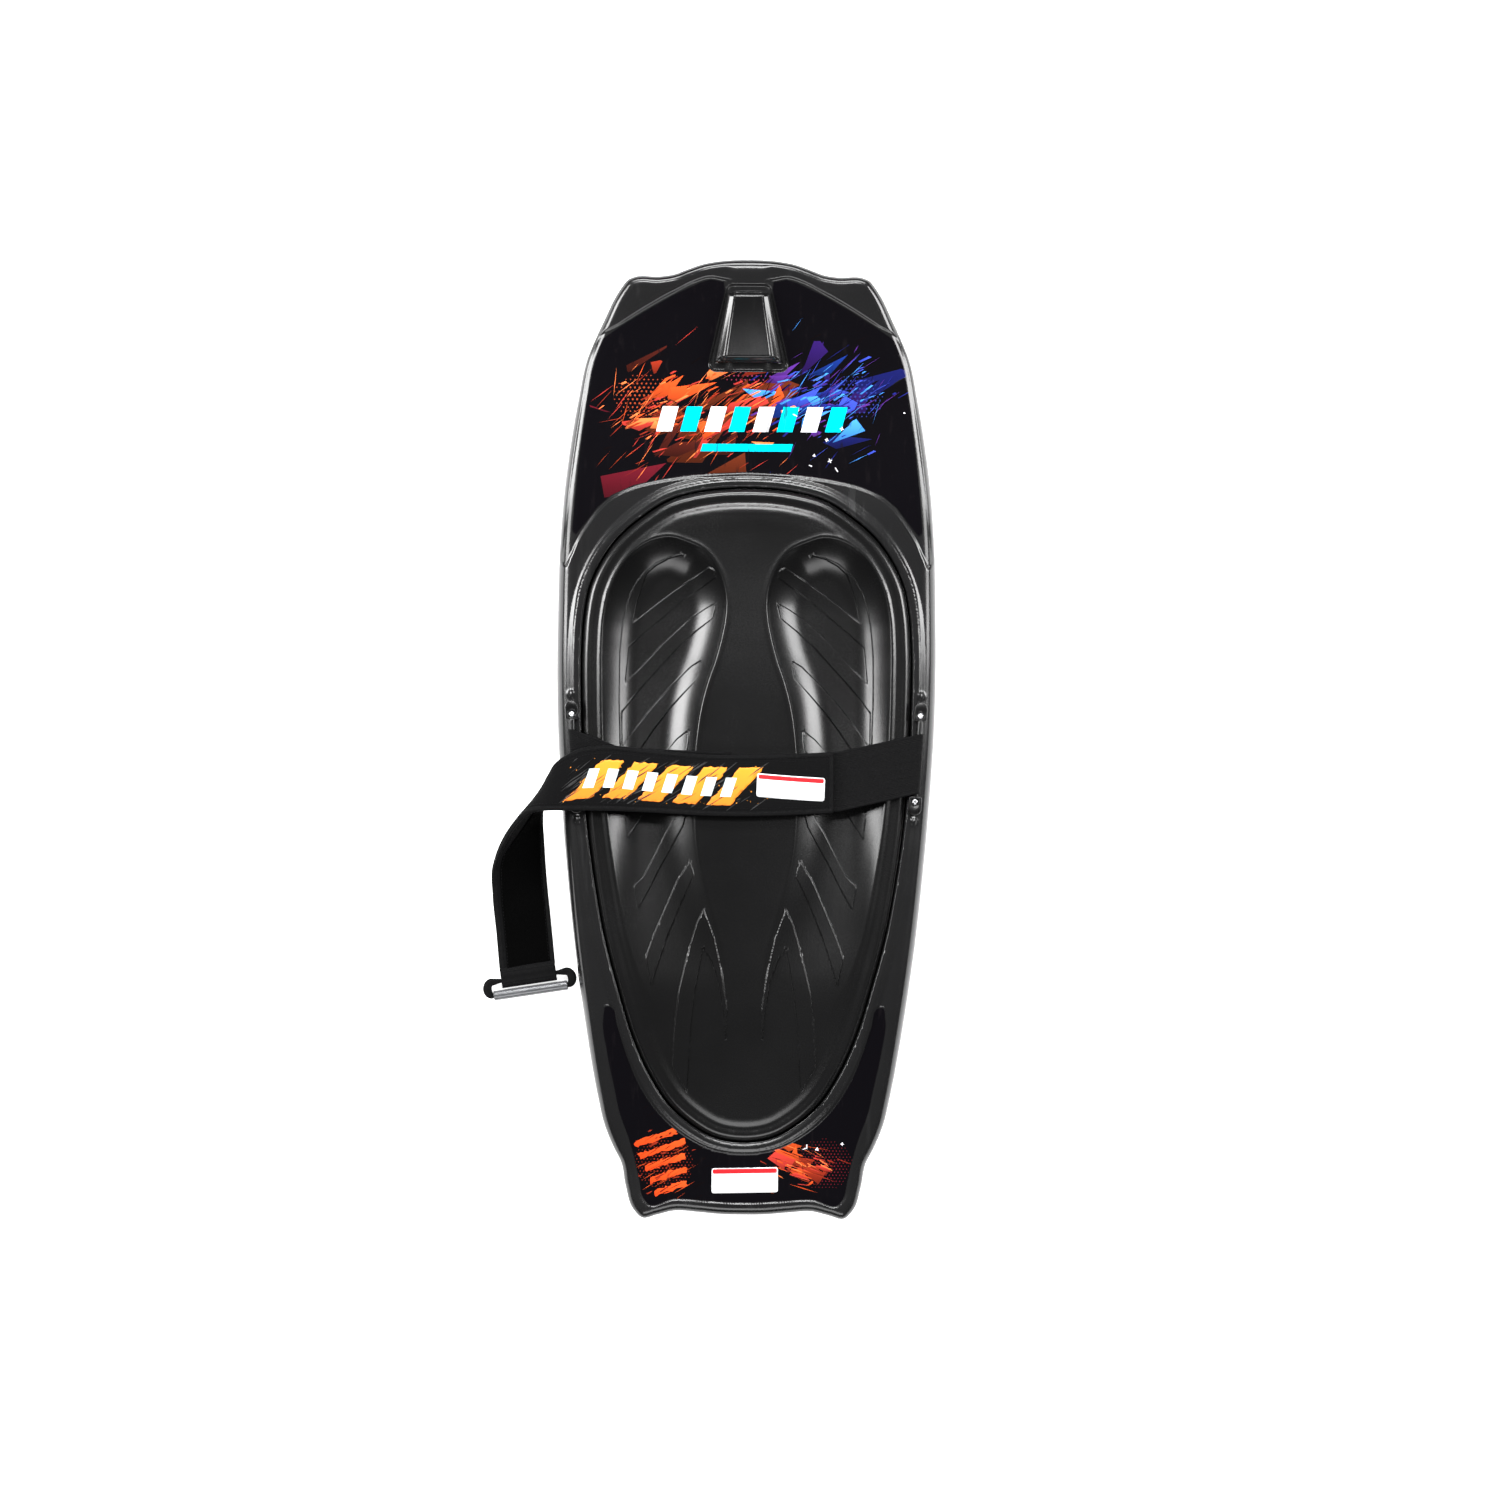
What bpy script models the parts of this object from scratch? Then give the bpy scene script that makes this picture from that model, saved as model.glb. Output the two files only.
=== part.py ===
"""A kneeboard: a foam-filled moulded hull, a contoured knee pad and a wide thigh strap with a pull handle.

Metres. X runs to the right, Y towards the nose and Z up from the flat middle of the underside.
"""

import math

import bmesh
import bpy
from mathutils import Matrix, Vector

MM = 0.001
GAP = 0.0003

# Hull: half of its plan outline, from the middle of the nose round the right side to the middle of the tail.
HULL_HALF_MM = [
    (0, 637), (40, 635), (62, 631), (80, 625), (100, 618), (118, 615.5), (150, 615), (160, 611), (167, 603),
    (177, 588), (190, 562), (203, 535), (214, 509), (226, 455), (235.5, 402), (243, 349), (250, 269), (253, 163),
    (253.5, 110), (251, 3), (246, -76), (239.5, -156), (228.5, -263), (213.5, -369), (194.5, -475), (187, -507),
    (172.5, -542), (163, -560), (157, -590), (146, -622), (134, -633), (115, -629), (92, -623.5), (60, -625),
    (30, -627.5), (0, -628),
]
SPINE_END = 0.50
HULL_THICKNESS = 0.062
END_THINNING = 0.028
THINNING_START = 0.30
HALF_LENGTH = 0.637
FLAT_HALF_LENGTH = 0.15
NOSE_ROCKER = 0.085
TAIL_ROCKER = 0.042
ROCKER_POWER = 2.2
WALL = 0.0035
CORE_GAP = 0.0010
# Distance in from the rail, and height as a share of the hull's thickness.
DECK_EDGE = [(0.003, 0.74), (0.009, 0.90), (0.018, 0.985), (0.030, 1.0)]
KEEL_EDGE = [(0.005, 0.26), (0.014, 0.10), (0.035, 0.03), (0.080, 0.0)]
RAIL_LEVEL = 0.5
CENTRE_SHARES = [0.5, 0.04]

# Knee pad: half of its plan outline.
PAD_HALF_MM = [
    (0, 338), (62, 333), (105, 321), (140, 299), (172, 271), (193, 242), (209, 207), (216, 171), (219, 130),
    (219, 50), (216, -30), (210, -110), (199, -190), (186, -260), (170, -320), (146, -397), (126, -441),
    (99, -482), (68, -509), (41, -524), (0, -531),
]
PAD_SPINE_FRONT, PAD_SPINE_REAR = 0.15, -0.30
POCKET_FLOOR = 0.024
POCKET_GAP = 0.0006
POCKET_ROOF = 0.2
PAD_CROWN = 0.008
PAD_EDGE_DROP = 0.003
PAD_INNER_SHARES = [0.75, 0.5, 0.25, 0.03]
PAD_EDGE_SHARE = 0.98
PAD_TOP_SHARES = [0.94, 0.86, 0.76, 0.64, 0.52, 0.38, 0.24, 0.12, 0.03]

# The hollow for each shin: it narrows and moves outwards towards the tail.
WELL_DEPTH = 0.032
WELL_CENTRE, WELL_CENTRE_SHIFT = 0.109, 0.020
WELL_HALF_WIDTH, WELL_NARROWING = 0.080, 0.022
WELL_TURN_Y, WELL_SHIFT_RUN, WELL_NARROW_RUN = 0.18, 0.18, 0.25
WELL_FRONT_Y, WELL_FRONT_RUN = 0.265, 0.07
WELL_BACK_Y, WELL_BACK_RUN = -0.42, 0.50
WELL_WALL_STEEPNESS = 1.4

PORT_RADIUS = 0.015
PLUG_HEIGHT = 0.0030

# Printed films on the nose and the tail deck, right halves.
NOSE_PANEL_MM = [(36, 606), (60, 604), (98, 588), (135, 567), (168, 547), (190, 530), (203, 490), (213, 441),
                 (219, 384), (225, 326), (228, 290), (215, 292), (199, 314), (180, 330), (151, 344), (117, 352),
                 (77, 357), (28, 360)]
NOSE_PANEL_NOTCH_MM = [(52, 494), (36, 594)]
TAIL_PANEL_MM = [(0, -546), (40, -540), (75, -524), (108, -497), (136, -457), (152, -408), (166, -368),
                 (176, -348), (184, -370), (178, -420), (170, -468), (158, -512), (144, -556), (136, -600),
                 (126, -612), (92, -606), (0, -610)]
FILM_LOW, FILM_HIGH = -0.0014, -0.0004
RECESS_LOW = -0.0020

# Small fins under the tail.
FIN_X, FIN_FRONT_Y, FIN_LENGTH = 0.085, -0.45, 0.12
FIN_ROOT_HALF, FIN_TIP_HALF = 0.004, 0.002
FIN_SUNK, FIN_LEAST, FIN_DEPTH = 0.0015, 0.002, 0.012
FIN_FULLNESS = 0.7
FIN_SECTIONS = 7

# Tow hook: a horn on the nose deck, as half sections of (X, height above the deck).
HORN_FRONT_Y, HORN_REAR_Y = 0.594, 0.506
HORN_FRONT = [(0.0275, -0.002), (0.0255, 0.004), (0.0185, 0.007)]
HORN_REAR = [(0.046, -0.002), (0.041, 0.013), (0.030, 0.021)]
SLOT_HEIGHT_ABOVE_DECK = 0.0062
SLOT_SIZE = (0.12, 0.024, 0.0070, 1)

# Strap anchors: a bar between two screwed blocks on each rim of the hull.
BAR_X, BAR_Y, BAR_Z = 0.22825, -0.0205, 0.0691
BAR_RADIUS = 0.0035
BAR_LEAN = 0.0575
BLOCK_INNER, BLOCK_OUTER = 0.050, 0.075
BLOCK_WIDTH = 0.017
BLOCK_LOW, BLOCK_HIGH = 0.0625, 0.0730
SCREW_ALONG = 0.057
COUNTERBORE_RADIUS, COUNTERBORE_DEPTH = 0.0050, 0.0032
SCREW_HOLE_RADIUS = 0.0026
INSERT_RADIUS, INSERT_LENGTH = 0.0040, 0.013
INSERT_TOP = HULL_THICKNESS - 0.0022
BOSS_RADIUS, BOSS_MIDDLE, BOSS_HEIGHT = 0.013, 0.065, 0.050
BLOCK_BEVEL_DROP, BLOCK_BEVEL_SHARE = 0.0015, 0.88
# Screw: (radius, height above its seat) from the top of the head down to the point.
SCREW_PROFILE = [(0, 0.0027), (0.0022, 0.0025), (0.0036, 0.0018), (0.0042, 0.0006), (0.0042, 0), (0.0022, 0),
                 (0.0022, -0.0190), (0.0014, -0.0205), (0, -0.0205)]
RECESS_SIZE = (0.0044, 0.0009, 0.0030, 1)
RECESS_HEIGHT = 0.0025
RECESS_TURN = 0.4
INSERT_BORE_RADIUS = 0.0025
INSERT_WAIST = 0.0006
INSERT_WAIST_SPAN = (-0.004, -0.005, -0.008, -0.009)

# Strap.
WEB_THICKNESS = 0.0018
WEB_LOOP_RADIUS = 0.0051
WEB_HALF_WIDTH = 0.040
PAD_STRAP_THICKNESS = 0.006
PATCH_THICKNESS = 0.0010
LOOP_PATCH_Z, HOOK_PATCH_Z = 0.0760, 0.0774
PATCH_X = (-0.170, -0.030)
PATCH_Y = (-0.084, -0.024)
TAIL_THICKNESS = 0.004
PANEL_LIFT = 0.0026
# Nose-side edge and tail-side edge of the padded strap, right end to left end, then round its soft fold.
STRAP_EDGES_MM = [
    ((115.7, -12.6, 78.9), (115.7, -92.4, 78.9)), ((60, -15.5, 80.2), (60, -95.5, 80.2)),
    ((14, -17, 81.5), (14, -97, 81.5)), ((-61, -16.5, 81.5), (-61, -96.5, 81.5)),
    ((-127, -11, 81.5), (-127, -93, 81.5)), ((-193, -6, 81.5), (-193, -91, 81.5)),
    ((-229, -14, 82), (-241, -91, 82)), ((-250, -28, 78), (-272, -92, 81)), ((-262, -54, 54), (-294, -98, 78)),
    ((-270, -78, 32), (-310, -115, 70)), ((-273, -96, 20), (-320, -130, 62)),
]
TAIL_EDGES_MM = [
    ((-273, -104, 16), (-326, -140, 56)), ((-271, -134, 11), (-336, -168, 42)), ((-267, -185, 8), (-337, -206, 26)),
    ((-260, -249, 7), (-332, -262, 14)), ((-255, -298, 8), (-328, -309, 9)),
]

# Across the strap at three places: X, nose-side Y and tail-side Y.
STRAP_LABEL_MM = [(16, -41, -71), (60, -44, -75), (104, -47, -78)]
LABEL_LIFT = 0.0008

# Pull handle.
HANDLE_CENTRE = Vector((-0.2895, -0.3160, 0.0095))
HANDLE_DIRECTION = Vector((0.988, 0.153, 0.0)).normalized()
HANDLE_AWAY = Vector((HANDLE_DIRECTION.y, -HANDLE_DIRECTION.x, 0))
SLEEVE_LENGTH, SLEEVE_HALF_HEIGHT, SLEEVE_THICKNESS = 0.074, 0.0100, 0.009
CHANNEL_RADIUS = 0.0036
CORD_RADIUS = 0.0030
GRIP_DISTANCE = 0.0185
GRIP_LENGTH, GRIP_RADIUS, GRIP_BORE = 0.100, 0.0065, 0.0038
LOOP_HALF_LENGTH = 0.052


def fresh_collection(name):
    collection = bpy.data.collections.new(name)
    bpy.context.scene.collection.children.link(collection)
    return collection


for leftover in list(bpy.data.objects):
    bpy.data.objects.remove(leftover, do_unlink=True)
PARTS = fresh_collection("kneeboard")
CUTTERS = fresh_collection("cutters")


def material(name, colour, roughness, metallic=0.0):
    made = bpy.data.materials.new(name)
    made.use_nodes = True
    shader = made.node_tree.nodes["Principled BSDF"]
    shader.inputs["Base Color"].default_value = (*colour, 1.0)
    shader.inputs["Roughness"].default_value = roughness
    shader.inputs["Metallic"].default_value = metallic
    return made


HULL_PLASTIC = material("hull_plastic", (0.022, 0.022, 0.024), 0.33)
FOAM = material("hull_foam", (0.80, 0.74, 0.50), 0.9)
EVA = material("eva_pad", (0.030, 0.030, 0.032), 0.55)
PRINT_NOSE = material("nose_print", (0.30, 0.06, 0.03), 0.12)
PRINT_TAIL = material("tail_print", (0.22, 0.03, 0.02), 0.14)
LABEL = material("label_white", (0.85, 0.85, 0.85), 0.35)
ANCHOR_PLASTIC = material("anchor_nylon", (0.015, 0.015, 0.016), 0.4)
STEEL = material("screw_steel", (0.55, 0.55, 0.57), 0.25, 1.0)
BRASS = material("insert_brass", (0.70, 0.52, 0.22), 0.3, 1.0)
WEBBING = material("webbing", (0.018, 0.018, 0.019), 0.8)
NEOPRENE = material("neoprene", (0.035, 0.035, 0.038), 0.7)
HOOK = material("hook_tape", (0.006, 0.006, 0.006), 0.95)
GRIP = material("grip_tube", (0.24, 0.25, 0.26), 0.3)


def new_object(name, mesh_data, finish):
    made = bpy.data.objects.new(name, mesh_data)
    PARTS.objects.link(made)
    if finish:
        mesh_data.materials.append(finish)
    return made


def as_cutter(tool):
    """A shape that only cuts or joins another."""
    for collection in list(tool.users_collection):
        collection.objects.unlink(tool)
    CUTTERS.objects.link(tool)
    tool.hide_render = True
    tool.display_type = "WIRE"
    return tool


def combine(target, tool, operation="DIFFERENCE"):
    modifier = target.modifiers.new(f"{operation.lower()}_{tool.name}", "BOOLEAN")
    modifier.operation = operation
    modifier.solver = "EXACT"
    modifier.object = tool
    return target


def mesh_object(name, build, finish=None):
    """An object from a bmesh that build(bmesh) fills, with its faces turned outwards."""
    shape = bmesh.new()
    build(shape)
    bmesh.ops.recalc_face_normals(shape, faces=shape.faces)
    data = bpy.data.meshes.new(name)
    shape.to_mesh(data)
    shape.free()
    return new_object(name, data, finish)


def close_across(shape, loop):
    """Fills a ring that is symmetric about X = 0 with a ladder of faces, so that the fill follows its curve."""
    count = len(loop)
    half = count // 2
    for i in range(half):
        corners = [loop[i], loop[i + 1], loop[count - i - 1], loop[(count - i) % count]]
        unique = [v for n, v in enumerate(corners) if v not in corners[:n]]
        shape.faces.new(unique)


def ring_solid(name, rings, finish=None):
    """A closed skin through rings of equal count, shut across the centre line at both ends."""

    def build(shape):
        loops = [[shape.verts.new(point) for point in ring] for ring in rings]
        for lower, upper in zip(loops, loops[1:]):
            for i in range(len(lower)):
                after = (i + 1) % len(lower)
                shape.faces.new((lower[i], lower[after], upper[after], upper[i]))
        close_across(shape, loops[0])
        close_across(shape, loops[-1])

    return mesh_object(name, build, finish)


def loft(name, sections, finish=None):
    """A closed skin through flat sections of equal count, with a face at each end."""

    def build(shape):
        loops = [[shape.verts.new(point) for point in section] for section in sections]
        for lower, upper in zip(loops, loops[1:]):
            for i in range(len(lower)):
                after = (i + 1) % len(lower)
                shape.faces.new((lower[i], lower[after], upper[after], upper[i]))
        shape.faces.new(loops[0])
        shape.faces.new(loops[-1])

    return mesh_object(name, build, finish)


def plate(name, outline, low, high, finish=None):
    """A flat outline given thickness between two heights."""
    curve = bpy.data.curves.new(name, "CURVE")
    curve.dimensions = "2D"
    curve.fill_mode = "BOTH"
    curve.extrude = (high - low) / 2
    spline = curve.splines.new("POLY")
    spline.points.add(len(outline) - 1)
    for point, (x, y) in zip(spline.points, outline):
        point.co = (x, y, 0, 1)
    spline.use_cyclic_u = True
    flat = bpy.data.objects.new(name + "_outline", curve)
    PARTS.objects.link(flat)
    flat.location.z = (low + high) / 2
    return welded_mesh(flat, name, finish)


def welded_mesh(curve_object, name, finish=None):
    """A curve's shape as one closed mesh object in the same place."""
    bpy.context.view_layer.update()
    evaluated = curve_object.evaluated_get(bpy.context.evaluated_depsgraph_get())
    data = bpy.data.meshes.new_from_object(evaluated)
    shape = bmesh.new()
    shape.from_mesh(data)
    bmesh.ops.remove_doubles(shape, verts=shape.verts, dist=1e-6)
    bmesh.ops.recalc_face_normals(shape, faces=shape.faces)
    shape.to_mesh(data)
    shape.free()
    data.materials.clear()
    made = new_object(name, data, finish)
    made.matrix_world = curve_object.matrix_world.copy()
    bpy.data.objects.remove(curve_object)
    return made


def cylinder(name, centre, radius, length, axis=(0, 0, 1), finish=None, segments=16):
    def build(shape):
        turn = Vector((0, 0, 1)).rotation_difference(Vector(axis)).to_matrix().to_4x4()
        bmesh.ops.create_cone(shape, cap_ends=True, segments=segments, radius1=radius, radius2=radius, depth=length,
                              matrix=Matrix.Translation(Vector(centre)) @ turn)

    return mesh_object(name, build, finish)


def turned(name, profile, finish, location, steps=16):
    """A profile of (radius, height) points, from the top down the outer side, turned about Z."""
    data = bpy.data.meshes.new(name)
    edges = [(i, i + 1) for i in range(len(profile) - 1)]
    if profile[0][0] > 0:
        edges.append((len(profile) - 1, 0))
    data.from_pydata([(radius, 0, height) for radius, height in profile], edges, [])
    made = new_object(name, data, finish)
    screw = made.modifiers.new("turn", "SCREW")
    screw.steps = screw.render_steps = steps
    screw.use_merge_vertices = True
    screw.merge_threshold = 1e-5
    made.location = location
    return made


def smooth_step(value):
    held = max(0.0, min(1.0, value))
    return held * held * (3 - 2 * held)


def mirrored(half):
    """A closed outline in metres from its right half, which starts and ends on X = 0."""
    right = [(x * MM, y * MM) for x, y in half]
    left = [(-x, y) for x, y in reversed(right[1:-1])]
    return right + left


def offset_outline(outline, distance):
    """The outline moved outwards by distance; outlines run clockwise seen from above."""
    moved = []
    count = len(outline)
    for i, (x, y) in enumerate(outline):
        before = Vector(outline[i - 1])
        after = Vector(outline[(i + 1) % count])
        along = (after - before).normalized()
        moved.append((x - along.y * distance, y + along.x * distance))
    return moved


def rocker(y):
    """How far the underside's middle line lifts off the ground."""
    rise, run = (NOSE_ROCKER, y) if y > 0 else (TAIL_ROCKER, -y)
    over = max(0.0, run - FLAT_HALF_LENGTH) / (HALF_LENGTH - FLAT_HALF_LENGTH)
    return rise * over**ROCKER_POWER


def thickness(y):
    return HULL_THICKNESS - END_THINNING * smooth_step((abs(y) - THINNING_START) / (HALF_LENGTH - THINNING_START))


def hull_ring(outline, inset, share, level, lift=0.0, spine_end=SPINE_END):
    """The outline drawn in by inset, then to a share of its width, at a share level of the hull's thickness."""
    points = []
    for x, y in outline:
        spine_y = max(-spine_end, min(spine_end, y))
        out = Vector((x, y - spine_y))
        scale = share * (1 - inset / out.length)
        px, py = out.x * scale, spine_y + out.y * scale
        points.append(Vector((px, py, rocker(py) + thickness(py) * level + lift)))
    return points


def hull_body(name, wall=0.0, finish=None):
    """The hull's outer shape, or with a wall the hollow inside it."""
    outline = mirrored(HULL_HALF_MM)
    deck = [hull_ring(outline, inset + wall, 1, level, -wall) for inset, level in DECK_EDGE]
    deck += [hull_ring(outline, DECK_EDGE[-1][0] + wall, share, 1.0, -wall) for share in CENTRE_SHARES]
    keel = [hull_ring(outline, inset + wall, 1, level, wall) for inset, level in KEEL_EDGE]
    keel += [hull_ring(outline, KEEL_EDGE[-1][0] + wall, share, 0.0, wall) for share in CENTRE_SHARES]
    rail = hull_ring(outline, wall, 1, RAIL_LEVEL)
    return ring_solid(name, keel[::-1] + [rail] + deck, finish)


def deck_layer(name, low, high, outline, finish=None):
    """The part of a thin layer at a set height off the deck that lies inside a plan outline."""
    hull = mirrored(HULL_HALF_MM)
    rings = []
    for lift, order in ((low, -1), (high, 1)):
        level_rings = [hull_ring(hull, inset, 1, level, lift) for inset, level in DECK_EDGE]
        level_rings += [hull_ring(hull, DECK_EDGE[-1][0], share, 1.0, lift) for share in CENTRE_SHARES]
        rings += level_rings[::order]
    layer = ring_solid(name, rings, finish)
    window = as_cutter(plate(name + "_window", outline, -0.05, 0.25))
    return combine(layer, window, "INTERSECT")


def pocket_body(name, grow, drop):
    """The knee pad's pocket, grown sideways and downwards."""
    outline = offset_outline(mirrored(PAD_HALF_MM), grow)
    shares = [1.0] + PAD_INNER_SHARES
    floor = [pad_ring(outline, share, lambda x, y: rocker(y) + POCKET_FLOOR - drop) for share in shares]
    roof = [pad_ring(outline, share, lambda x, y: POCKET_ROOF) for share in shares]
    return as_cutter(ring_solid(name, floor[::-1] + roof))


def pad_ring(outline, share, height):
    points = []
    for x, y in outline:
        spine_y = max(PAD_SPINE_REAR, min(PAD_SPINE_FRONT, y))
        px, py = x * share, spine_y + (y - spine_y) * share
        points.append(Vector((px, py, height(px, py))))
    return points


def knee_well(x, y):
    """How deep the hollow for a shin is at a point."""
    side = abs(x)
    centre = WELL_CENTRE + WELL_CENTRE_SHIFT * smooth_step((WELL_TURN_Y - y) / WELL_SHIFT_RUN)
    half_width = WELL_HALF_WIDTH - WELL_NARROWING * smooth_step((WELL_TURN_Y - y) / WELL_NARROW_RUN)
    across = max(0.0, 1 - ((side - centre) / half_width) ** 2)
    front = smooth_step((WELL_FRONT_Y - y) / WELL_FRONT_RUN)
    back = smooth_step((y - WELL_BACK_Y) / WELL_BACK_RUN)
    return WELL_DEPTH * front * back * smooth_step(across * WELL_WALL_STEEPNESS)


def pad_top(x, y):
    return rocker(y) + thickness(y) + PAD_CROWN - knee_well(x, y)


def pad_underside(x, y):
    return rocker(y) + POCKET_FLOOR + GAP


def make_knee_pad():
    outline = mirrored(PAD_HALF_MM)
    rings = [pad_ring(outline, share, pad_underside) for share in reversed(PAD_INNER_SHARES)]
    rings.append(pad_ring(outline, 1.0, pad_underside))
    rings.append(pad_ring(outline, 1.0, lambda x, y: rocker(y) + thickness(y)))
    rings.append(pad_ring(outline, PAD_EDGE_SHARE, lambda x, y: pad_top(x, y) - PAD_EDGE_DROP))
    rings += [pad_ring(outline, share, pad_top) for share in PAD_TOP_SHARES]
    return ring_solid("knee_pad", rings, EVA)


def bar_direction(side):
    return Vector((side * BAR_LEAN, 1, 0)).normalized()


def anchor_point(side, along, height=BAR_Z):
    """A point on an anchor's middle line, at a distance along it from its middle."""
    direction = bar_direction(side)
    return Vector((side * BAR_X, BAR_Y, height)) + direction * along


def make_anchor(name, side):
    """A nylon anchor: two blocks held down by screws, with the strap's bar between them."""
    direction = bar_direction(side)
    body = cylinder(name, anchor_point(side, 0), BAR_RADIUS, 2 * BLOCK_INNER + 0.006, direction, ANCHOR_PLASTIC)
    for end in (-1, 1):
        block = as_cutter(anchor_block(f"{name}_block_{end + 1}", side, end))
        combine(body, block, "UNION")
        screw_at = anchor_point(side, end * SCREW_ALONG)
        hole = cylinder(f"{name}_hole_{end + 1}", screw_at, SCREW_HOLE_RADIUS, 0.04)
        combine(body, as_cutter(hole))
        bore_centre = Vector((screw_at.x, screw_at.y, BLOCK_HIGH - COUNTERBORE_DEPTH + 0.005))
        bore = cylinder(f"{name}_counterbore_{end + 1}", bore_centre, COUNTERBORE_RADIUS, 0.010)
        combine(body, as_cutter(bore))
    return body


def anchor_block(name, side, end):
    """One end block, rounded in plan and bevelled on top."""
    outline = []
    half = BLOCK_WIDTH / 2
    for turn in range(9):
        angle = math.radians(180 * turn / 8)
        outline.append((half * math.cos(angle), BLOCK_OUTER - half + half * math.sin(angle)))
    outline += [(-half, BLOCK_INNER), (half, BLOCK_INNER)]
    direction = bar_direction(side) * end
    across = Vector((direction.y, -direction.x, 0))
    rings = []
    levels = ((BLOCK_LOW, 1.0), (BLOCK_HIGH - BLOCK_BEVEL_DROP, 1.0), (BLOCK_HIGH, BLOCK_BEVEL_SHARE))
    for height, shrink in levels:
        middle = (BLOCK_INNER + BLOCK_OUTER) / 2
        centre = Vector((side * BAR_X, BAR_Y, height)) + direction * middle
        rings.append([centre + across * x * shrink + direction * (y - middle) * shrink for x, y in outline])
    return loft(name, rings)


def make_screw(name, side, end):
    """A pan head screw with a cross recess."""
    seat = BLOCK_HIGH - COUNTERBORE_DEPTH + GAP
    place = anchor_point(side, end * SCREW_ALONG, seat)
    screw = turned(name, SCREW_PROFILE, STEEL, place)
    for number, turn in enumerate((RECESS_TURN, RECESS_TURN + math.pi / 2)):
        def build(shape, turn=turn):
            matrix = Matrix.Translation(place + Vector((0, 0, RECESS_HEIGHT))) @ Matrix.Rotation(turn, 4, "Z")
            bmesh.ops.create_cube(shape, size=1, matrix=matrix @ Matrix.Diagonal(RECESS_SIZE))

        combine(screw, as_cutter(mesh_object(f"{name}_recess_{number}", build)))
    return screw


def make_insert(name, side, end):
    """A brass threaded sleeve moulded into the hull's rim."""
    waist_radius = INSERT_RADIUS - INSERT_WAIST
    start, top, bottom, end_of_waist = INSERT_WAIST_SPAN
    profile = [(INSERT_BORE_RADIUS, 0), (INSERT_RADIUS, 0), (INSERT_RADIUS, start), (waist_radius, top),
               (waist_radius, bottom), (INSERT_RADIUS, end_of_waist), (INSERT_RADIUS, -INSERT_LENGTH),
               (INSERT_BORE_RADIUS, -INSERT_LENGTH)]
    return turned(name, profile, BRASS, anchor_point(side, end * SCREW_ALONG, INSERT_TOP))


def make_hull():
    """The moulded shell: pocket, hollow, boss bores, fill port, tow hook and two small fins."""
    hull = hull_body("hull_shell", finish=HULL_PLASTIC)
    for number, fin in enumerate((-1, 1)):
        combine(hull, as_cutter(make_fin(f"fin_{number}", fin)), "UNION")
    combine(hull, as_cutter(make_tow_hook()), "UNION")
    combine(hull, as_cutter(hook_undercut()))
    combine(hull, pocket_body("pocket", POCKET_GAP, 0.0))
    hollow = hull_body("hollow", WALL)
    as_cutter(hollow)
    combine(hollow, pocket_body("pocket_wall", POCKET_GAP + WALL, WALL))
    for side in (-1, 1):
        for end in (-1, 1):
            combine(hollow, boss(f"boss_{side + 1}_{end + 1}", side, end, BOSS_RADIUS))
            place = anchor_point(side, end * SCREW_ALONG, INSERT_TOP + 0.010 - INSERT_LENGTH / 2)
            bore = cylinder(f"insert_bore_{side + 1}_{end + 1}", place, INSERT_RADIUS + GAP, 0.020 + INSERT_LENGTH)
            combine(hull, as_cutter(bore))
    combine(hull, hollow)
    port = cylinder("fill_port", (0, 0, POCKET_FLOOR - WALL / 2), PORT_RADIUS, WALL + 0.004)
    combine(hull, as_cutter(port))
    film_outline = offset_outline(nose_outline(), GAP * 2)
    combine(hull, as_cutter(deck_layer("nose_recess", RECESS_LOW, 0.020, film_outline)))
    film_outline = offset_outline(mirrored(TAIL_PANEL_MM), GAP * 2)
    combine(hull, as_cutter(deck_layer("tail_recess", RECESS_LOW, 0.020, film_outline)))
    return hull


def boss(name, side, end, radius):
    place = anchor_point(side, end * SCREW_ALONG, BOSS_MIDDLE)
    return as_cutter(cylinder(name, place, radius, BOSS_HEIGHT))


def make_foam_core():
    core = hull_body("foam_core", WALL + CORE_GAP, FOAM)
    combine(core, pocket_body("pocket_core", POCKET_GAP + WALL + CORE_GAP, WALL + CORE_GAP))
    for side in (-1, 1):
        for end in (-1, 1):
            combine(core, boss(f"core_boss_{side + 1}_{end + 1}", side, end, BOSS_RADIUS + CORE_GAP))
    return core


def make_fill_plug():
    """The disc that closes the foam port under the pad."""
    top = POCKET_FLOOR - GAP
    radius = PORT_RADIUS - 0.0005
    profile = [(0, 0), (radius, 0), (radius, -0.8 * PLUG_HEIGHT), (radius - 0.002, -PLUG_HEIGHT), (0, -PLUG_HEIGHT)]
    return turned("fill_plug", profile, ANCHOR_PLASTIC, (0, 0, top), steps=24)


def make_fin(name, side):
    """A low moulded fin under the tail that follows the underside's curve."""
    sections = []
    for step in range(FIN_SECTIONS):
        share = step / (FIN_SECTIONS - 1)
        y = FIN_FRONT_Y - FIN_LENGTH * share
        depth = FIN_LEAST + FIN_DEPTH * math.sin(math.pi * share) ** FIN_FULLNESS
        top = rocker(y) + FIN_SUNK
        x = side * FIN_X
        sections.append([Vector((x - FIN_ROOT_HALF, y, top)), Vector((x + FIN_ROOT_HALF, y, top)),
                         Vector((x + FIN_TIP_HALF, y, top - depth)), Vector((x - FIN_TIP_HALF, y, top - depth))])
    return loft(name, sections)


def deck_at(y):
    return rocker(y) + thickness(y)


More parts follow.
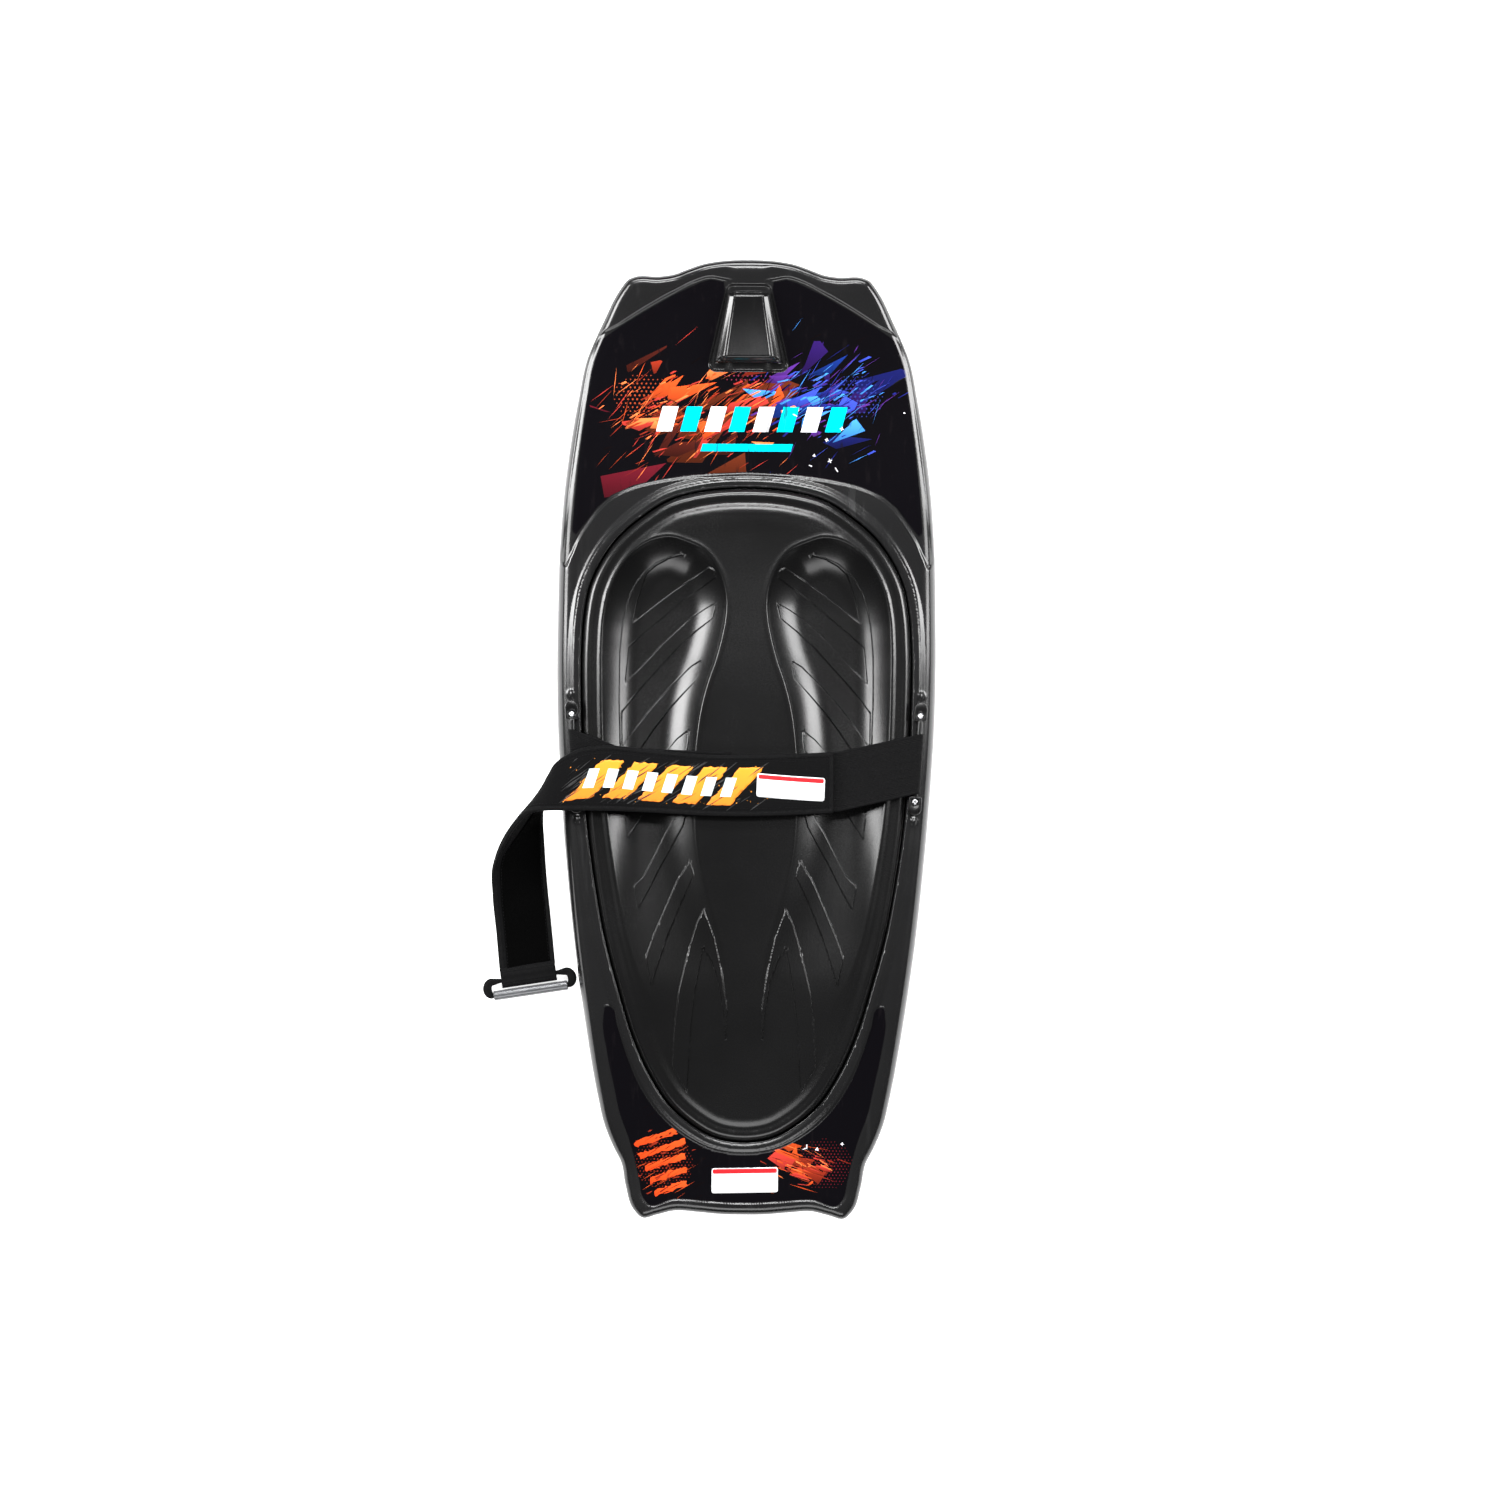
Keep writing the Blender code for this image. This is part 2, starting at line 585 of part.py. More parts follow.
def make_tow_hook():
    """The moulded horn that holds the tow handle: a wedge that widens and rises off the deck towards the pad."""
    sections = []
    for y, half in ((HORN_FRONT_Y, HORN_FRONT), (HORN_REAR_Y, HORN_REAR)):
        shape = [(-half[0][0], half[0][1])] + half + [(-x, lift) for x, lift in reversed(half[1:])]
        sections.append([Vector((x, y, deck_at(y) + lift)) for x, lift in shape])
    return loft("tow_hook", sections)


def hook_undercut():
    """The slot under the horn's rear lip that the handle sits in."""
    def build(shape):
        centre = Matrix.Translation((0, HORN_REAR_Y, deck_at(HORN_REAR_Y) + SLOT_HEIGHT_ABOVE_DECK))
        bmesh.ops.create_cube(shape, size=1, matrix=centre @ Matrix.Diagonal(SLOT_SIZE))

    return mesh_object("hook_slot", build)


def nose_outline():
    right = [(x * MM, y * MM) for x, y in NOSE_PANEL_NOTCH_MM + NOSE_PANEL_MM]
    return right + [(-x, y) for x, y in reversed(right)]


def make_films():
    deck_layer("nose_graphic", FILM_LOW, FILM_HIGH, nose_outline(), PRINT_NOSE)
    deck_layer("tail_graphic", FILM_LOW, FILM_HIGH, mirrored(TAIL_PANEL_MM), PRINT_TAIL)
    label = [(-0.042, -0.566), (0.046, -0.564), (0.046, -0.597), (-0.042, -0.599)]
    deck_layer("tail_label", 0.0, 0.0005, label, LABEL)


def strip(name, edges, depth, finish):
    """A flexible strip between pairs of edge points, with its thickness square to its surface."""
    centres = [(a + b) / 2 for a, b in edges]
    sections = []
    for i, (a, b) in enumerate(edges):
        forward = centres[min(i + 1, len(edges) - 1)] - centres[max(i - 1, 0)]
        normal = (a - b).cross(forward).normalized() * (depth / 2)
        sections.append([a + normal, b + normal, b - normal, a - normal])
    return loft(name, sections, finish)


def flowing(points, steps):
    """Points along a smooth curve through the given ones, with steps pieces between each two."""
    curve = []
    for i in range(len(points) - 1):
        before, here = points[max(i - 1, 0)], points[i]
        there, after = points[i + 1], points[min(i + 2, len(points) - 1)]
        for step in range(steps):
            t = step / steps
            curve.append(0.5 * (2 * here + (there - before) * t + (2 * before - 5 * here + 4 * there - after) * t * t
                                + (3 * here - before - 3 * there + after) * t**3))
    return curve + [points[-1]]


def millimetre_edges(rows, steps):
    nose_side = flowing([Vector(a) * MM for a, _ in rows], steps)
    tail_side = flowing([Vector(b) * MM for _, b in rows], steps)
    return list(zip(nose_side, tail_side))


def web_edges(side, offset, ends):
    """Edge pairs of webbing that wraps an anchor's bar from inside and below, then runs to the given ends."""
    direction = bar_direction(side)
    outward = Vector((direction.y, -direction.x, 0)) * side
    edges = []
    for step in range(15):
        angle = math.radians(142 + 22 * step)
        reach = outward * math.cos(angle) + Vector((0, 0, math.sin(angle)))
        centre = anchor_point(side, offset) + reach * WEB_LOOP_RADIUS
        edges.append((centre + direction * WEB_HALF_WIDTH, centre - direction * WEB_HALF_WIDTH))
    last_a, last_b = edges[-1]
    for step in (1, 2, 3):
        share = step / 3
        edges.append((last_a.lerp(ends[0], share), last_b.lerp(ends[0] - Vector((0, 0.080, 0)), share)))
    for point in ends[1:]:
        edges.append((point, point - Vector((0, 0.080, 0))))
    return edges


def make_strap():
    web_z = BAR_Z + WEB_LOOP_RADIUS
    right_ends = [Vector((0.1250, -0.0110, web_z)), Vector((0.0905, -0.0135, web_z))]
    strip("strap_web_right", web_edges(1, -0.007, right_ends), WEB_THICKNESS, WEBBING)
    left_ends = [Vector((-0.165, -0.0080, web_z)), Vector((-0.020, -0.0130, web_z))]
    strip("strap_web_left", web_edges(-1, -0.003, left_ends), WEB_THICKNESS, WEBBING)
    strip("strap_pad", millimetre_edges(STRAP_EDGES_MM, 2), PAD_STRAP_THICKNESS, NEOPRENE)
    strip("strap_tail", millimetre_edges(TAIL_EDGES_MM, 4), TAIL_THICKNESS, NEOPRENE)
    patch("loop_patch", LOOP_PATCH_Z)
    patch("hook_patch", HOOK_PATCH_Z)
    make_tail_hook_panel()
    make_strap_label()


def patch(name, height):
    """A rectangle of hook or loop tape between the two halves of the strap."""
    edges = [(Vector((x, PATCH_Y[1], height)), Vector((x, PATCH_Y[0], height))) for x in PATCH_X]
    return strip(name, edges, PATCH_THICKNESS, HOOK)


def make_tail_hook_panel():
    """The hook tape on the inner face of the tail, which the fold turns upwards."""
    inner = []
    edges = millimetre_edges(TAIL_EDGES_MM, 4)
    centres = [(a + b) / 2 for a, b in edges]
    for i in range(2, len(edges) - 1):
        a, b = edges[i]
        up = (b - a).cross(centres[i + 1] - centres[i - 1]).normalized()
        lift = up * (TAIL_THICKNESS / 2 + PANEL_LIFT)
        inner.append((a.lerp(b, 0.12) + lift, a.lerp(b, 0.86) + lift))
    return strip("tail_hook_panel", inner, PATCH_THICKNESS, HOOK)


def make_strap_label():
    """A blank label that lies on the padded strap's slope near its right end."""
    (low_x, _, low_z), (high_x, _, high_z) = STRAP_EDGES_MM[0][0], STRAP_EDGES_MM[2][0]
    edges = []
    for x, nose_y, tail_y in STRAP_LABEL_MM:
        middle = low_z + (high_z - low_z) * (low_x - x) / (low_x - high_x)
        surface = middle * MM + PAD_STRAP_THICKNESS / 2 + LABEL_LIFT
        edges.append((Vector((x * MM, nose_y * MM, surface)), Vector((x * MM, tail_y * MM, surface))))
    return strip("strap_label", edges, 0.0005, LABEL)


def handle_point(along, down):
    """A point of the handle's own plane: along its length, and down from its pivot towards the grip."""
    return HANDLE_CENTRE + HANDLE_DIRECTION * along + HANDLE_AWAY * down


def make_end_pocket():
    """The sewn sleeve at the tail's end that the pull loop turns in."""

    def build(shape):
        axes = Matrix((HANDLE_DIRECTION, HANDLE_AWAY, Vector((0, 0, 1)))).transposed().to_4x4()
        size = Matrix.Diagonal((SLEEVE_LENGTH, 2 * SLEEVE_HALF_HEIGHT, SLEEVE_THICKNESS, 1))
        bmesh.ops.create_cube(shape, size=1, matrix=Matrix.Translation(HANDLE_CENTRE) @ axes @ size)

    pocket = mesh_object("end_pocket", build, WEBBING)
    bevel = pocket.modifiers.new("soft_edges", "BEVEL")
    bevel.width = 0.0018
    bevel.segments = 2
    channel = cylinder("pocket_channel", HANDLE_CENTRE, CHANNEL_RADIUS, SLEEVE_LENGTH + 0.02, HANDLE_DIRECTION)
    combine(pocket, as_cutter(channel))
    return pocket


def make_pull_loop():
    """The closed loop of webbing through the sleeve and the grip."""
    curve = bpy.data.curves.new("pull_loop", "CURVE")
    curve.dimensions = "3D"
    curve.bevel_depth = CORD_RADIUS
    curve.bevel_resolution = 2
    half_drop = GRIP_DISTANCE / 2
    track = []
    for side in (1, -1):
        for step in range(9):
            angle = math.radians(-90 + 180 * step / 8)
            along = side * (LOOP_HALF_LENGTH - 0.002 + half_drop * math.cos(angle) * 0.75)
            track.append(handle_point(along, half_drop + side * half_drop * math.sin(angle)))
    spline = curve.splines.new("POLY")
    spline.points.add(len(track) - 1)
    for point, place in zip(spline.points, track):
        point.co = (*place, 1)
    spline.use_cyclic_u = True
    loop = bpy.data.objects.new("pull_loop_path", curve)
    PARTS.objects.link(loop)
    return welded_mesh(loop, "pull_loop", WEBBING)


def make_grip():
    """The tube the hand pulls on; it turns on the loop."""
    centre = handle_point(0, GRIP_DISTANCE)
    grip = cylinder("grip_tube", centre, GRIP_RADIUS, GRIP_LENGTH, HANDLE_DIRECTION, GRIP, segments=24)
    bore = cylinder("grip_bore", centre, GRIP_BORE, GRIP_LENGTH + 0.02, HANDLE_DIRECTION)
    return combine(grip, as_cutter(bore))


def make_anchors():
    for side, word in ((-1, "left"), (1, "right")):
        make_anchor(f"anchor_{word}", side)
        for end, place in ((1, "front"), (-1, "rear")):
            make_screw(f"screw_{word}_{place}", side, end)
            make_insert(f"insert_{word}_{place}", side, end)


make_hull()
make_foam_core()
make_fill_plug()
make_knee_pad()
make_films()
make_anchors()
make_strap()
make_end_pocket()
make_pull_loop()
make_grip()
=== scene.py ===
"""The looks of a kneeboard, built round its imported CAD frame.

Metres, in the frame's own axes: X to the rider's right, Y towards the nose, Z up.
"""

import math
import random

import bmesh
import bpy
import numpy as np
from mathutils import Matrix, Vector, kdtree
from mathutils.geometry import delaunay_2d_cdt


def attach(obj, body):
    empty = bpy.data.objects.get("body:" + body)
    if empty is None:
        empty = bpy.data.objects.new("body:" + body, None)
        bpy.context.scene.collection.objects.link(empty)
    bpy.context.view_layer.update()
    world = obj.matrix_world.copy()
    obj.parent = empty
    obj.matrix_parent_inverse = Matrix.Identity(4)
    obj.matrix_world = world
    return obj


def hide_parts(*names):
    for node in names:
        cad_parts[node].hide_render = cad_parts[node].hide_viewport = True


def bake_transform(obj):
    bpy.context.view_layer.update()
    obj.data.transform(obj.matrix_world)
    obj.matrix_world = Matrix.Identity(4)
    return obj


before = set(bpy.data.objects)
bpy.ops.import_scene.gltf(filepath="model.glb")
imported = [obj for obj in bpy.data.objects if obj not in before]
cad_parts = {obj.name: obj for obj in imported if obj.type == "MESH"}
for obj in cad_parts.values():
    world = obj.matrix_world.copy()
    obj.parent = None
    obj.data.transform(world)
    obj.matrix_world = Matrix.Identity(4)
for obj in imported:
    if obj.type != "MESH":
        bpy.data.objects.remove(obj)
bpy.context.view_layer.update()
MM = 0.001
WELD, HULL_WELD = 1e-6, 2e-5


# ---------------------------------------------------------------- numbers and outlines

# The board lies flat within FLAT_HALF of its middle, then rises over RISE_RUN towards the nose and the tail.
FLAT_HALF, RISE_RUN, NOSE_RISE, TAIL_RISE, RISE_POWER = 0.15, 0.487, 0.085, 0.042, 2.2
# Thickness in the middle, and how much thinner the two ends are.
MIDDLE_THICK, END_THINNING = 0.062, 0.028


def ss(t):
    """A smooth step from 0 to 1."""
    held = np.clip(t, 0.0, 1.0)
    return held * held * (3 - 2 * held)


def rocker(y):
    over_nose = np.maximum(0, y - FLAT_HALF) / RISE_RUN
    over_tail = np.maximum(0, -y - FLAT_HALF) / RISE_RUN
    return NOSE_RISE * over_nose**RISE_POWER + TAIL_RISE * over_tail**RISE_POWER


def thickness(y):
    return MIDDLE_THICK - END_THINNING * ss((np.abs(y) - 0.30) / 0.337)


def deck_at(y):
    return rocker(y) + thickness(y)


def closed_curve(points, count):
    """A smooth closed curve through the points, as count evenly spaced ones."""
    p = np.asarray(points, float)
    step = np.linalg.norm(np.roll(p, -1, 0) - p, axis=1)
    before = np.roll(step, 1)
    slope = (np.roll(p, -1, 0) - p) / step[:, None]
    tangent = (slope * before[:, None] + np.roll(slope, 1, 0) * step[:, None]) / (step + before)[:, None]
    t = np.linspace(0, 1, 60, endpoint=False)[None, :, None]
    a, b = p[:, None], np.roll(p, -1, 0)[:, None]
    ma, mb = tangent[:, None] * step[:, None, None], np.roll(tangent, -1, 0)[:, None] * step[:, None, None]
    fine = ((2 * t**3 - 3 * t**2 + 1) * a + (t**3 - 2 * t**2 + t) * ma
            + (3 * t**2 - 2 * t**3) * b + (t**3 - t**2) * mb).reshape(-1, p.shape[1])
    return resampled(np.vstack([fine, fine[:1]]), count + 1)[:-1]


def run_of(points):
    """Distance along a line of points, from its first point to each one."""
    return np.concatenate([[0], np.cumsum(np.linalg.norm(np.diff(points, axis=0), axis=1))])


def resampled(points, count):
    """Evenly spaced points along a line, corners included only where they fall."""
    p = np.asarray(points, float)
    run = run_of(p)
    at = np.linspace(0, run[-1], count)
    return np.column_stack([np.interp(at, run, p[:, k]) for k in range(p.shape[1])])


def open_curve(points, count):
    """A smooth open curve through the points."""
    p = np.asarray(points, float)
    run = run_of(p)
    tangent = np.gradient(p, run, axis=0)
    at = np.linspace(0, run[-1], count)
    i = np.clip(np.searchsorted(run, at, "right") - 1, 0, len(p) - 2)
    h = (run[i + 1] - run[i])[:, None]
    t = ((at - run[i])[:, None]) / h
    return ((2 * t**3 - 3 * t**2 + 1) * p[i] + (t**3 - 2 * t**2 + t) * h * tangent[i]
            + (3 * t**2 - 2 * t**3) * p[i + 1] + (t**3 - t**2) * h * tangent[i + 1])


def mirrored(half):
    right = [(x * MM, y * MM) for x, y in half]
    return right + [(-x, y) for x, y in reversed(right) if abs(x) > 1e-9]


def shifted(loop, distance):
    """The clockwise loop moved outwards by distance, square to its edge."""
    p = np.asarray(loop)
    along = np.roll(p, -1, 0) - np.roll(p, 1, 0)
    along /= np.linalg.norm(along, axis=1)[:, None]
    return p + np.column_stack([-along[:, 1], along[:, 0]]) * distance


def inside(points, loop):
    """Which of the points lie in the closed loop, by the even-odd rule."""
    p, loop = np.asarray(points), np.asarray(loop)
    low, high = loop.min(0), loop.max(0)
    found = np.zeros(len(p), bool)
    near = np.where(((p >= low) & (p <= high)).all(1))[0]
    a, b = loop, np.roll(loop, -1, 0)
    for part in np.array_split(near, max(1, len(near) // 4000)):
        x, y = p[part, 0][:, None], p[part, 1][:, None]
        crosses = (a[:, 1] > y) != (b[:, 1] > y)
        with np.errstate(divide="ignore", invalid="ignore"):
            at = a[:, 0] + (y - a[:, 1]) * (b[:, 0] - a[:, 0]) / (b[:, 1] - a[:, 1])
        found[part] = (crosses & (x < at)).sum(1) % 2 == 1
    return found


def tree_of(points):
    tree = kdtree.KDTree(len(points))
    for i, (x, y) in enumerate(points.tolist()):
        tree.insert((x, y, 0), i)
    tree.balance()
    return tree


def gap_to(points, line, closed=True):
    """Distance from each point to a finely drawn line, measured on the pieces round its closest corner."""
    p, line = np.asarray(points), np.asarray(line)
    tree = tree_of(line)
    near = np.array([tree.find((x, y, 0))[1] for x, y in p.tolist()])
    best = np.full(len(p), np.inf)
    last = len(line) if closed else len(line) - 1
    for step in (-2, -1, 0, 1):
        i = (near + step) % len(line) if closed else np.clip(near + step, 0, last - 1)
        a, d = line[i], line[(i + 1) % len(line)] - line[i]
        t = np.clip(((p - a) * d).sum(1) / np.maximum((d**2).sum(1), 1e-18), 0, 1)
        best = np.minimum(best, np.linalg.norm(p - a - t[:, None] * d, axis=1))
    return best


def depth_in(points, loop):
    """Distance to the loop, positive inside it."""
    return np.where(inside(points, loop), 1, -1) * gap_to(points, loop)


# ---------------------------------------------------------------- meshes

def mesh_piece(name, verts, faces, material, smooth=True):
    data = bpy.data.meshes.new(name)
    data.from_pydata([tuple(v) for v in np.asarray(verts, float)], [],
                     [tuple(int(i) for i in f) for f in faces])
    data.validate()
    made = bpy.data.objects.new(name, data)
    bpy.context.scene.collection.objects.link(made)
    data.materials.append(material)
    data.polygons.foreach_set("use_smooth", np.full(len(data.polygons), smooth))
    return made


def placed(obj, body, replaces=()):
    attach(obj, body)
    if replaces:
        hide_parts(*replaces)
    return obj


def spread(sets, least):
    """Point sets joined in order, leaving out points closer than least to an earlier set's."""
    kept = np.zeros((0, 2))
    for points in sets:
        points = np.asarray(points, float).reshape(-1, 2)
        if len(kept) and len(points):
            tree = tree_of(kept)
            far = [tree.find((x, y, 0))[2] > least for x, y in points]
            points = points[np.array(far)]
        kept = np.vstack([kept, points])
    return kept


def hex_grid(low, high, step):
    ys = np.arange(low[1], high[1], step * 0.866)
    rows = []
    for n, y in enumerate(ys):
        xs = np.arange(low[0] + (n % 2) * step / 2, high[0], step)
        rows.append(np.column_stack([xs, np.full(len(xs), y)]))
    return np.vstack(rows)


def disc(x, y, r, sides=7):
    a = np.linspace(0, 2 * math.pi, sides, endpoint=False)
    return np.column_stack([x + r * np.cos(a), y + r * np.sin(a)])


def triangles(outer, holes, lines, loose):
    """Delaunay triangles between an outer loop and holes, holding to the given lines: (points, triangles)."""
    points, edges = [], []
    for loop in [outer] + list(holes):
        start = sum(len(p) for p in points)
        points.append(np.asarray(loop))
        edges += [(start + i, start + (i + 1) % len(loop)) for i in range(len(loop))]
    for line, closed in lines:
        start = sum(len(p) for p in points)
        points.append(np.asarray(line))
        last = len(line) if closed else len(line) - 1
        edges += [(start + i, start + (i + 1) % len(line)) for i in range(last)]
    points.append(np.asarray(loose).reshape(-1, 2))
    co = [Vector(p) for p in np.vstack(points)]
    out_co, _, out_faces, _, _, _ = delaunay_2d_cdt(co, edges, [], 0, 1e-7)
    p = np.array([tuple(v) for v in out_co])
    f = np.array([tuple(t) for t in out_faces])
    middle = p[f].mean(1)
    keep = inside(middle, outer)
    for hole in holes:
        keep &= ~inside(middle, hole)
    f = f[keep]
    a, b, c = p[f[:, 0]], p[f[:, 1]], p[f[:, 2]]
    area = (b[:, 0] - a[:, 0]) * (c[:, 1] - a[:, 1]) - (b[:, 1] - a[:, 1]) * (c[:, 0] - a[:, 0])
    f[area < 0] = f[area < 0][:, ::-1]
    return p, f[np.abs(area) > 1e-14]


def used_only(p, f):
    used, index = np.unique(f, return_inverse=True)
    return p[used], index.reshape(f.shape)


def rim_edges(f):
    """The directed edges that only one triangle has."""
    ends = np.concatenate([f[:, [0, 1]], f[:, [1, 2]], f[:, [2, 0]]])
    held = {tuple(e) for e in ends.tolist()}
    return [e for e in ends.tolist() if (e[1], e[0]) not in held]


def slab(p, f, top, bottom):
    """A closed sheet over flat triangles: top and bottom turn flat points into places."""
    p, f = used_only(p, f)
    n = len(p)
    faces = f.tolist() + (f[:, ::-1] + n).tolist()
    for a, b in rim_edges(f):
        faces += [(b, a, a + n), (b, a + n, b + n)]
    return np.vstack([top(p), bottom(p)]), faces


def follow_slope(made, height, skip=None):
    """Shades the points of a piece that lie on a height field by the field's own slope."""
    data = made.data
    co = np.zeros(len(data.vertices) * 3)
    data.vertices.foreach_get("co", co)
    co = co.reshape(-1, 3)
    normal = np.array([v.vector for v in data.vertex_normals])
    z = height(co[:, :2])
    on = np.abs(co[:, 2] - z) < 2e-5
    if skip is not None:
        on &= ~skip(co)
    q, z, step = co[on, :2], z[on], 0.0002
    east, north = (height(q + s) - z for s in ((step, 0), (0, step)))
    slope = np.column_stack([-east / step, -north / step, np.ones(len(q))])
    normal[on] = slope / np.linalg.norm(slope, axis=1)[:, None]
    data.normals_split_custom_set_from_vertices(normal.tolist())


def ring_faces(count, rings, start=0):
    """Quads between consecutive rings of equal count."""
    faces = []
    for r in range(rings - 1):
        lower, upper = start + r * count, start + (r + 1) * count
        for i in range(count):
            j = (i + 1) % count
            faces.append((lower + i, lower + j, upper + j, upper + i))
    return faces


def capped_rings(size, rings):
    """Faces of rings in a row, with a flat cap at each end."""
    return ring_faces(size, rings) + [tuple(range(size))[::-1],
                                      tuple((rings - 1) * size + i for i in range(size))]


def joined_rings(size, rings):
    """Faces of rings in a row, the last joined to the first."""
    last = (rings - 1) * size
    closing = [(last + i, last + (i + 1) % size, (i + 1) % size, i) for i in range(size)]
    return ring_faces(size, rings) + closing


def tube(points, radius, sides, closed=False):
    """A round rod along points that run level or nearly so."""
    p = np.asarray(points, float)
    along = np.gradient(p, axis=0) if not closed else np.roll(p, -1, 0) - np.roll(p, 1, 0)
    along /= np.linalg.norm(along, axis=1)[:, None]
    side = np.cross(along, np.array([0.0, 0.0, 1.0]))
    side /= np.linalg.norm(side, axis=1)[:, None]
    top = np.cross(side, along)
    a = np.linspace(0, 2 * math.pi, sides, endpoint=False)
    verts = (p[:, None] + side[:, None] * np.cos(a)[None, :, None] * radius
             + top[:, None] * np.sin(a)[None, :, None] * radius).reshape(-1, 3)
    return verts, (joined_rings if closed else capped_rings)(sides, len(p))


def fix_normals(obj, weld=None):
    """Turns the faces outwards, first joining points closer than weld."""
    shape = bmesh.new()
    shape.from_mesh(obj.data)
    if weld:
        bmesh.ops.remove_doubles(shape, verts=shape.verts, dist=weld)
    bmesh.ops.recalc_face_normals(shape, faces=shape.faces)
    shape.to_mesh(obj.data)
    shape.free()


def merged(parts):
    """Several (verts, faces) as one."""
    verts, faces, start = [], [], 0
    for v, f in parts:
        verts.append(np.asarray(v, float))
        faces += [tuple(i + start for i in face) for face in f]
        start += len(v)
    return np.vstack(verts), faces


def box_mesh(centre, x_axis, y_axis, z_axis, size, bevel=0.0):
    """A box with chamfered edges along given axes."""
    hx, hy, hz = (s / 2 for s in size)
    axes = np.array([x_axis, y_axis, z_axis], float)
    rings = []
    for z, inset in ((-hz, bevel), (-hz + bevel, 0), (hz - bevel, 0), (hz, bevel)):
        x, y = hx - inset, hy - inset
        c = bevel if inset == 0 else bevel * 0.5
        ring = [(x - c, -y), (x, -y + c), (x, y - c), (x - c, y), (-x + c, y), (-x, y - c), (-x, -y + c),
                (-x + c, -y)]
        rings += [(a, b, z) for a, b in ring]
    verts = np.asarray(rings) @ axes + np.asarray(centre, float)
    return verts, capped_rings(8, 4)


# ---------------------------------------------------------------- finishes

def linear(rgb):
    return tuple(v / 255 / 12.92 if v <= 10 else ((v / 255 + 0.055) / 1.055) ** 2.4 for v in rgb)


class Finish:
    """A Principled material built up from procedural layers."""

    def __init__(self, name, colour, roughness, metallic=0.0, uv=False, coat=0.0, coat_roughness=0.1):
        self.mat = bpy.data.materials.new(name)
        self.mat.use_nodes = True
        self.tree = self.mat.node_tree
        self.bsdf = self.tree.nodes["Principled BSDF"]
        self.set(self.bsdf, {"Base Color": (*colour, 1), "Roughness": roughness, "Metallic": metallic,
                             "Coat Weight": coat, "Coat Roughness": coat_roughness})
        self.place = self.node("ShaderNodeTexCoord").outputs["UV" if uv else "Object"]
        self.colour = None
        self.normal = None
        self.base = colour

    def set(self, node, inputs):
        for key, value in inputs.items():
            if isinstance(value, bpy.types.NodeSocket):
                self.tree.links.new(value, node.inputs[key])
            else:
                node.inputs[key].default_value = value

    def node(self, kind, inputs=None, **settings):
        made = self.tree.nodes.new(kind)
        for key, value in settings.items():
            setattr(made, key, value)
        self.set(made, inputs or {})
        return made

    def noise(self, scale, detail=3.0, stretch=(1, 1, 1), roughness=0.5, turn=0.0):
        mapped = self.node("ShaderNodeMapping",
                           {"Vector": self.place, "Scale": stretch, "Rotation": (0, 0, turn)})
        return self.node("ShaderNodeTexNoise", {"Vector": mapped.outputs[0], "Scale": scale, "Detail": detail,
                                                "Roughness": roughness}).outputs[0]

    def wave(self, scale, axis="X", profile="SIN", distortion=0.0, turn=0.0):
        mapped = self.node("ShaderNodeMapping", {"Vector": self.place, "Rotation": (0, 0, turn)})
        return self.node("ShaderNodeTexWave", {"Vector": mapped.outputs[0], "Scale": scale,
                                               "Distortion": distortion, "Detail": 1.0},
                         bands_direction=axis, wave_profile=profile).outputs[1]

    def span(self, value, low, high, to_low, to_high):
        return self.node("ShaderNodeMapRange", {"Value": value, "From Min": low, "From Max": high,
                                                "To Min": to_low, "To Max": to_high}).outputs[0]

    def sums(self, operation, a, b):
        return self.node("ShaderNodeMath", {0: a, 1: b}, operation=operation).outputs[0]

    def tint(self, factor, colour, operation="MIX"):
        """Mixes another colour into the base where factor is high."""
        under = self.colour if self.colour is not None else (*self.base, 1)
        over = colour if isinstance(colour, bpy.types.NodeSocket) else (*colour, 1)
        mix = self.node("ShaderNodeMix", {0: factor, 6: under, 7: over}, data_type="RGBA",
                        blend_type=operation)
        self.colour = mix.outputs[2]
        self.set(self.bsdf, {"Base Color": self.colour})

    def rough(self, value):
        self.set(self.bsdf, {"Roughness": value})

    def bump(self, height, strength, distance):
        inputs = {"Height": height, "Strength": strength, "Distance": distance}
        if self.normal is not None:
            inputs["Normal"] = self.normal
        self.normal = self.node("ShaderNodeBump", inputs).outputs[0]
        self.set(self.bsdf, {"Normal": self.normal})


def moulded_plastic(name, colour, roughness, grain=0.12):
    look = Finish(name, colour, roughness)
    cloud = look.noise(9, 2)
    fine = look.noise(1400, 2)
    scuff = look.noise(60, 4, (1, 0.08, 1), 0.6, 0.5)
    spots = look.sums("ADD", look.span(cloud, 0.3, 0.7, -0.04, 0.05), look.span(scuff, 0.58, 0.75, 0, 0.10))
    look.rough(look.sums("ADD", spots, roughness))
    look.tint(look.span(scuff, 0.60, 0.80, 0, 0.35), tuple(c * 2.2 + 0.004 for c in colour))
    look.bump(fine, grain, 0.0004)
    look.bump(look.noise(26, 2), 0.03, 0.0015)
    return look.mat


def eva_skin():
    look = Finish("eva_skin", (0.0034, 0.0034, 0.0035), 0.25)
    fine = look.noise(1900, 3)
    pores = look.node("ShaderNodeTexVoronoi", {"Vector": look.place, "Scale": 900.0}).outputs[0]
    cloud = look.noise(7, 3)
    look.tint(look.span(cloud, 0.35, 0.7, 0, 0.5), (0.0042, 0.0042, 0.0044))
    look.tint(look.span(look.noise(420, 2), 0.62, 0.72, 0, 0.20), (0.008, 0.008, 0.008))
    look.rough(look.sums("ADD", look.span(cloud, 0.3, 0.7, 0.225, 0.265), look.span(fine, 0.4, 0.7, 0, 0.03)))
    look.bump(pores, 0.03, 0.0003)
    look.bump(fine, 0.05, 0.0004)
    return look.mat


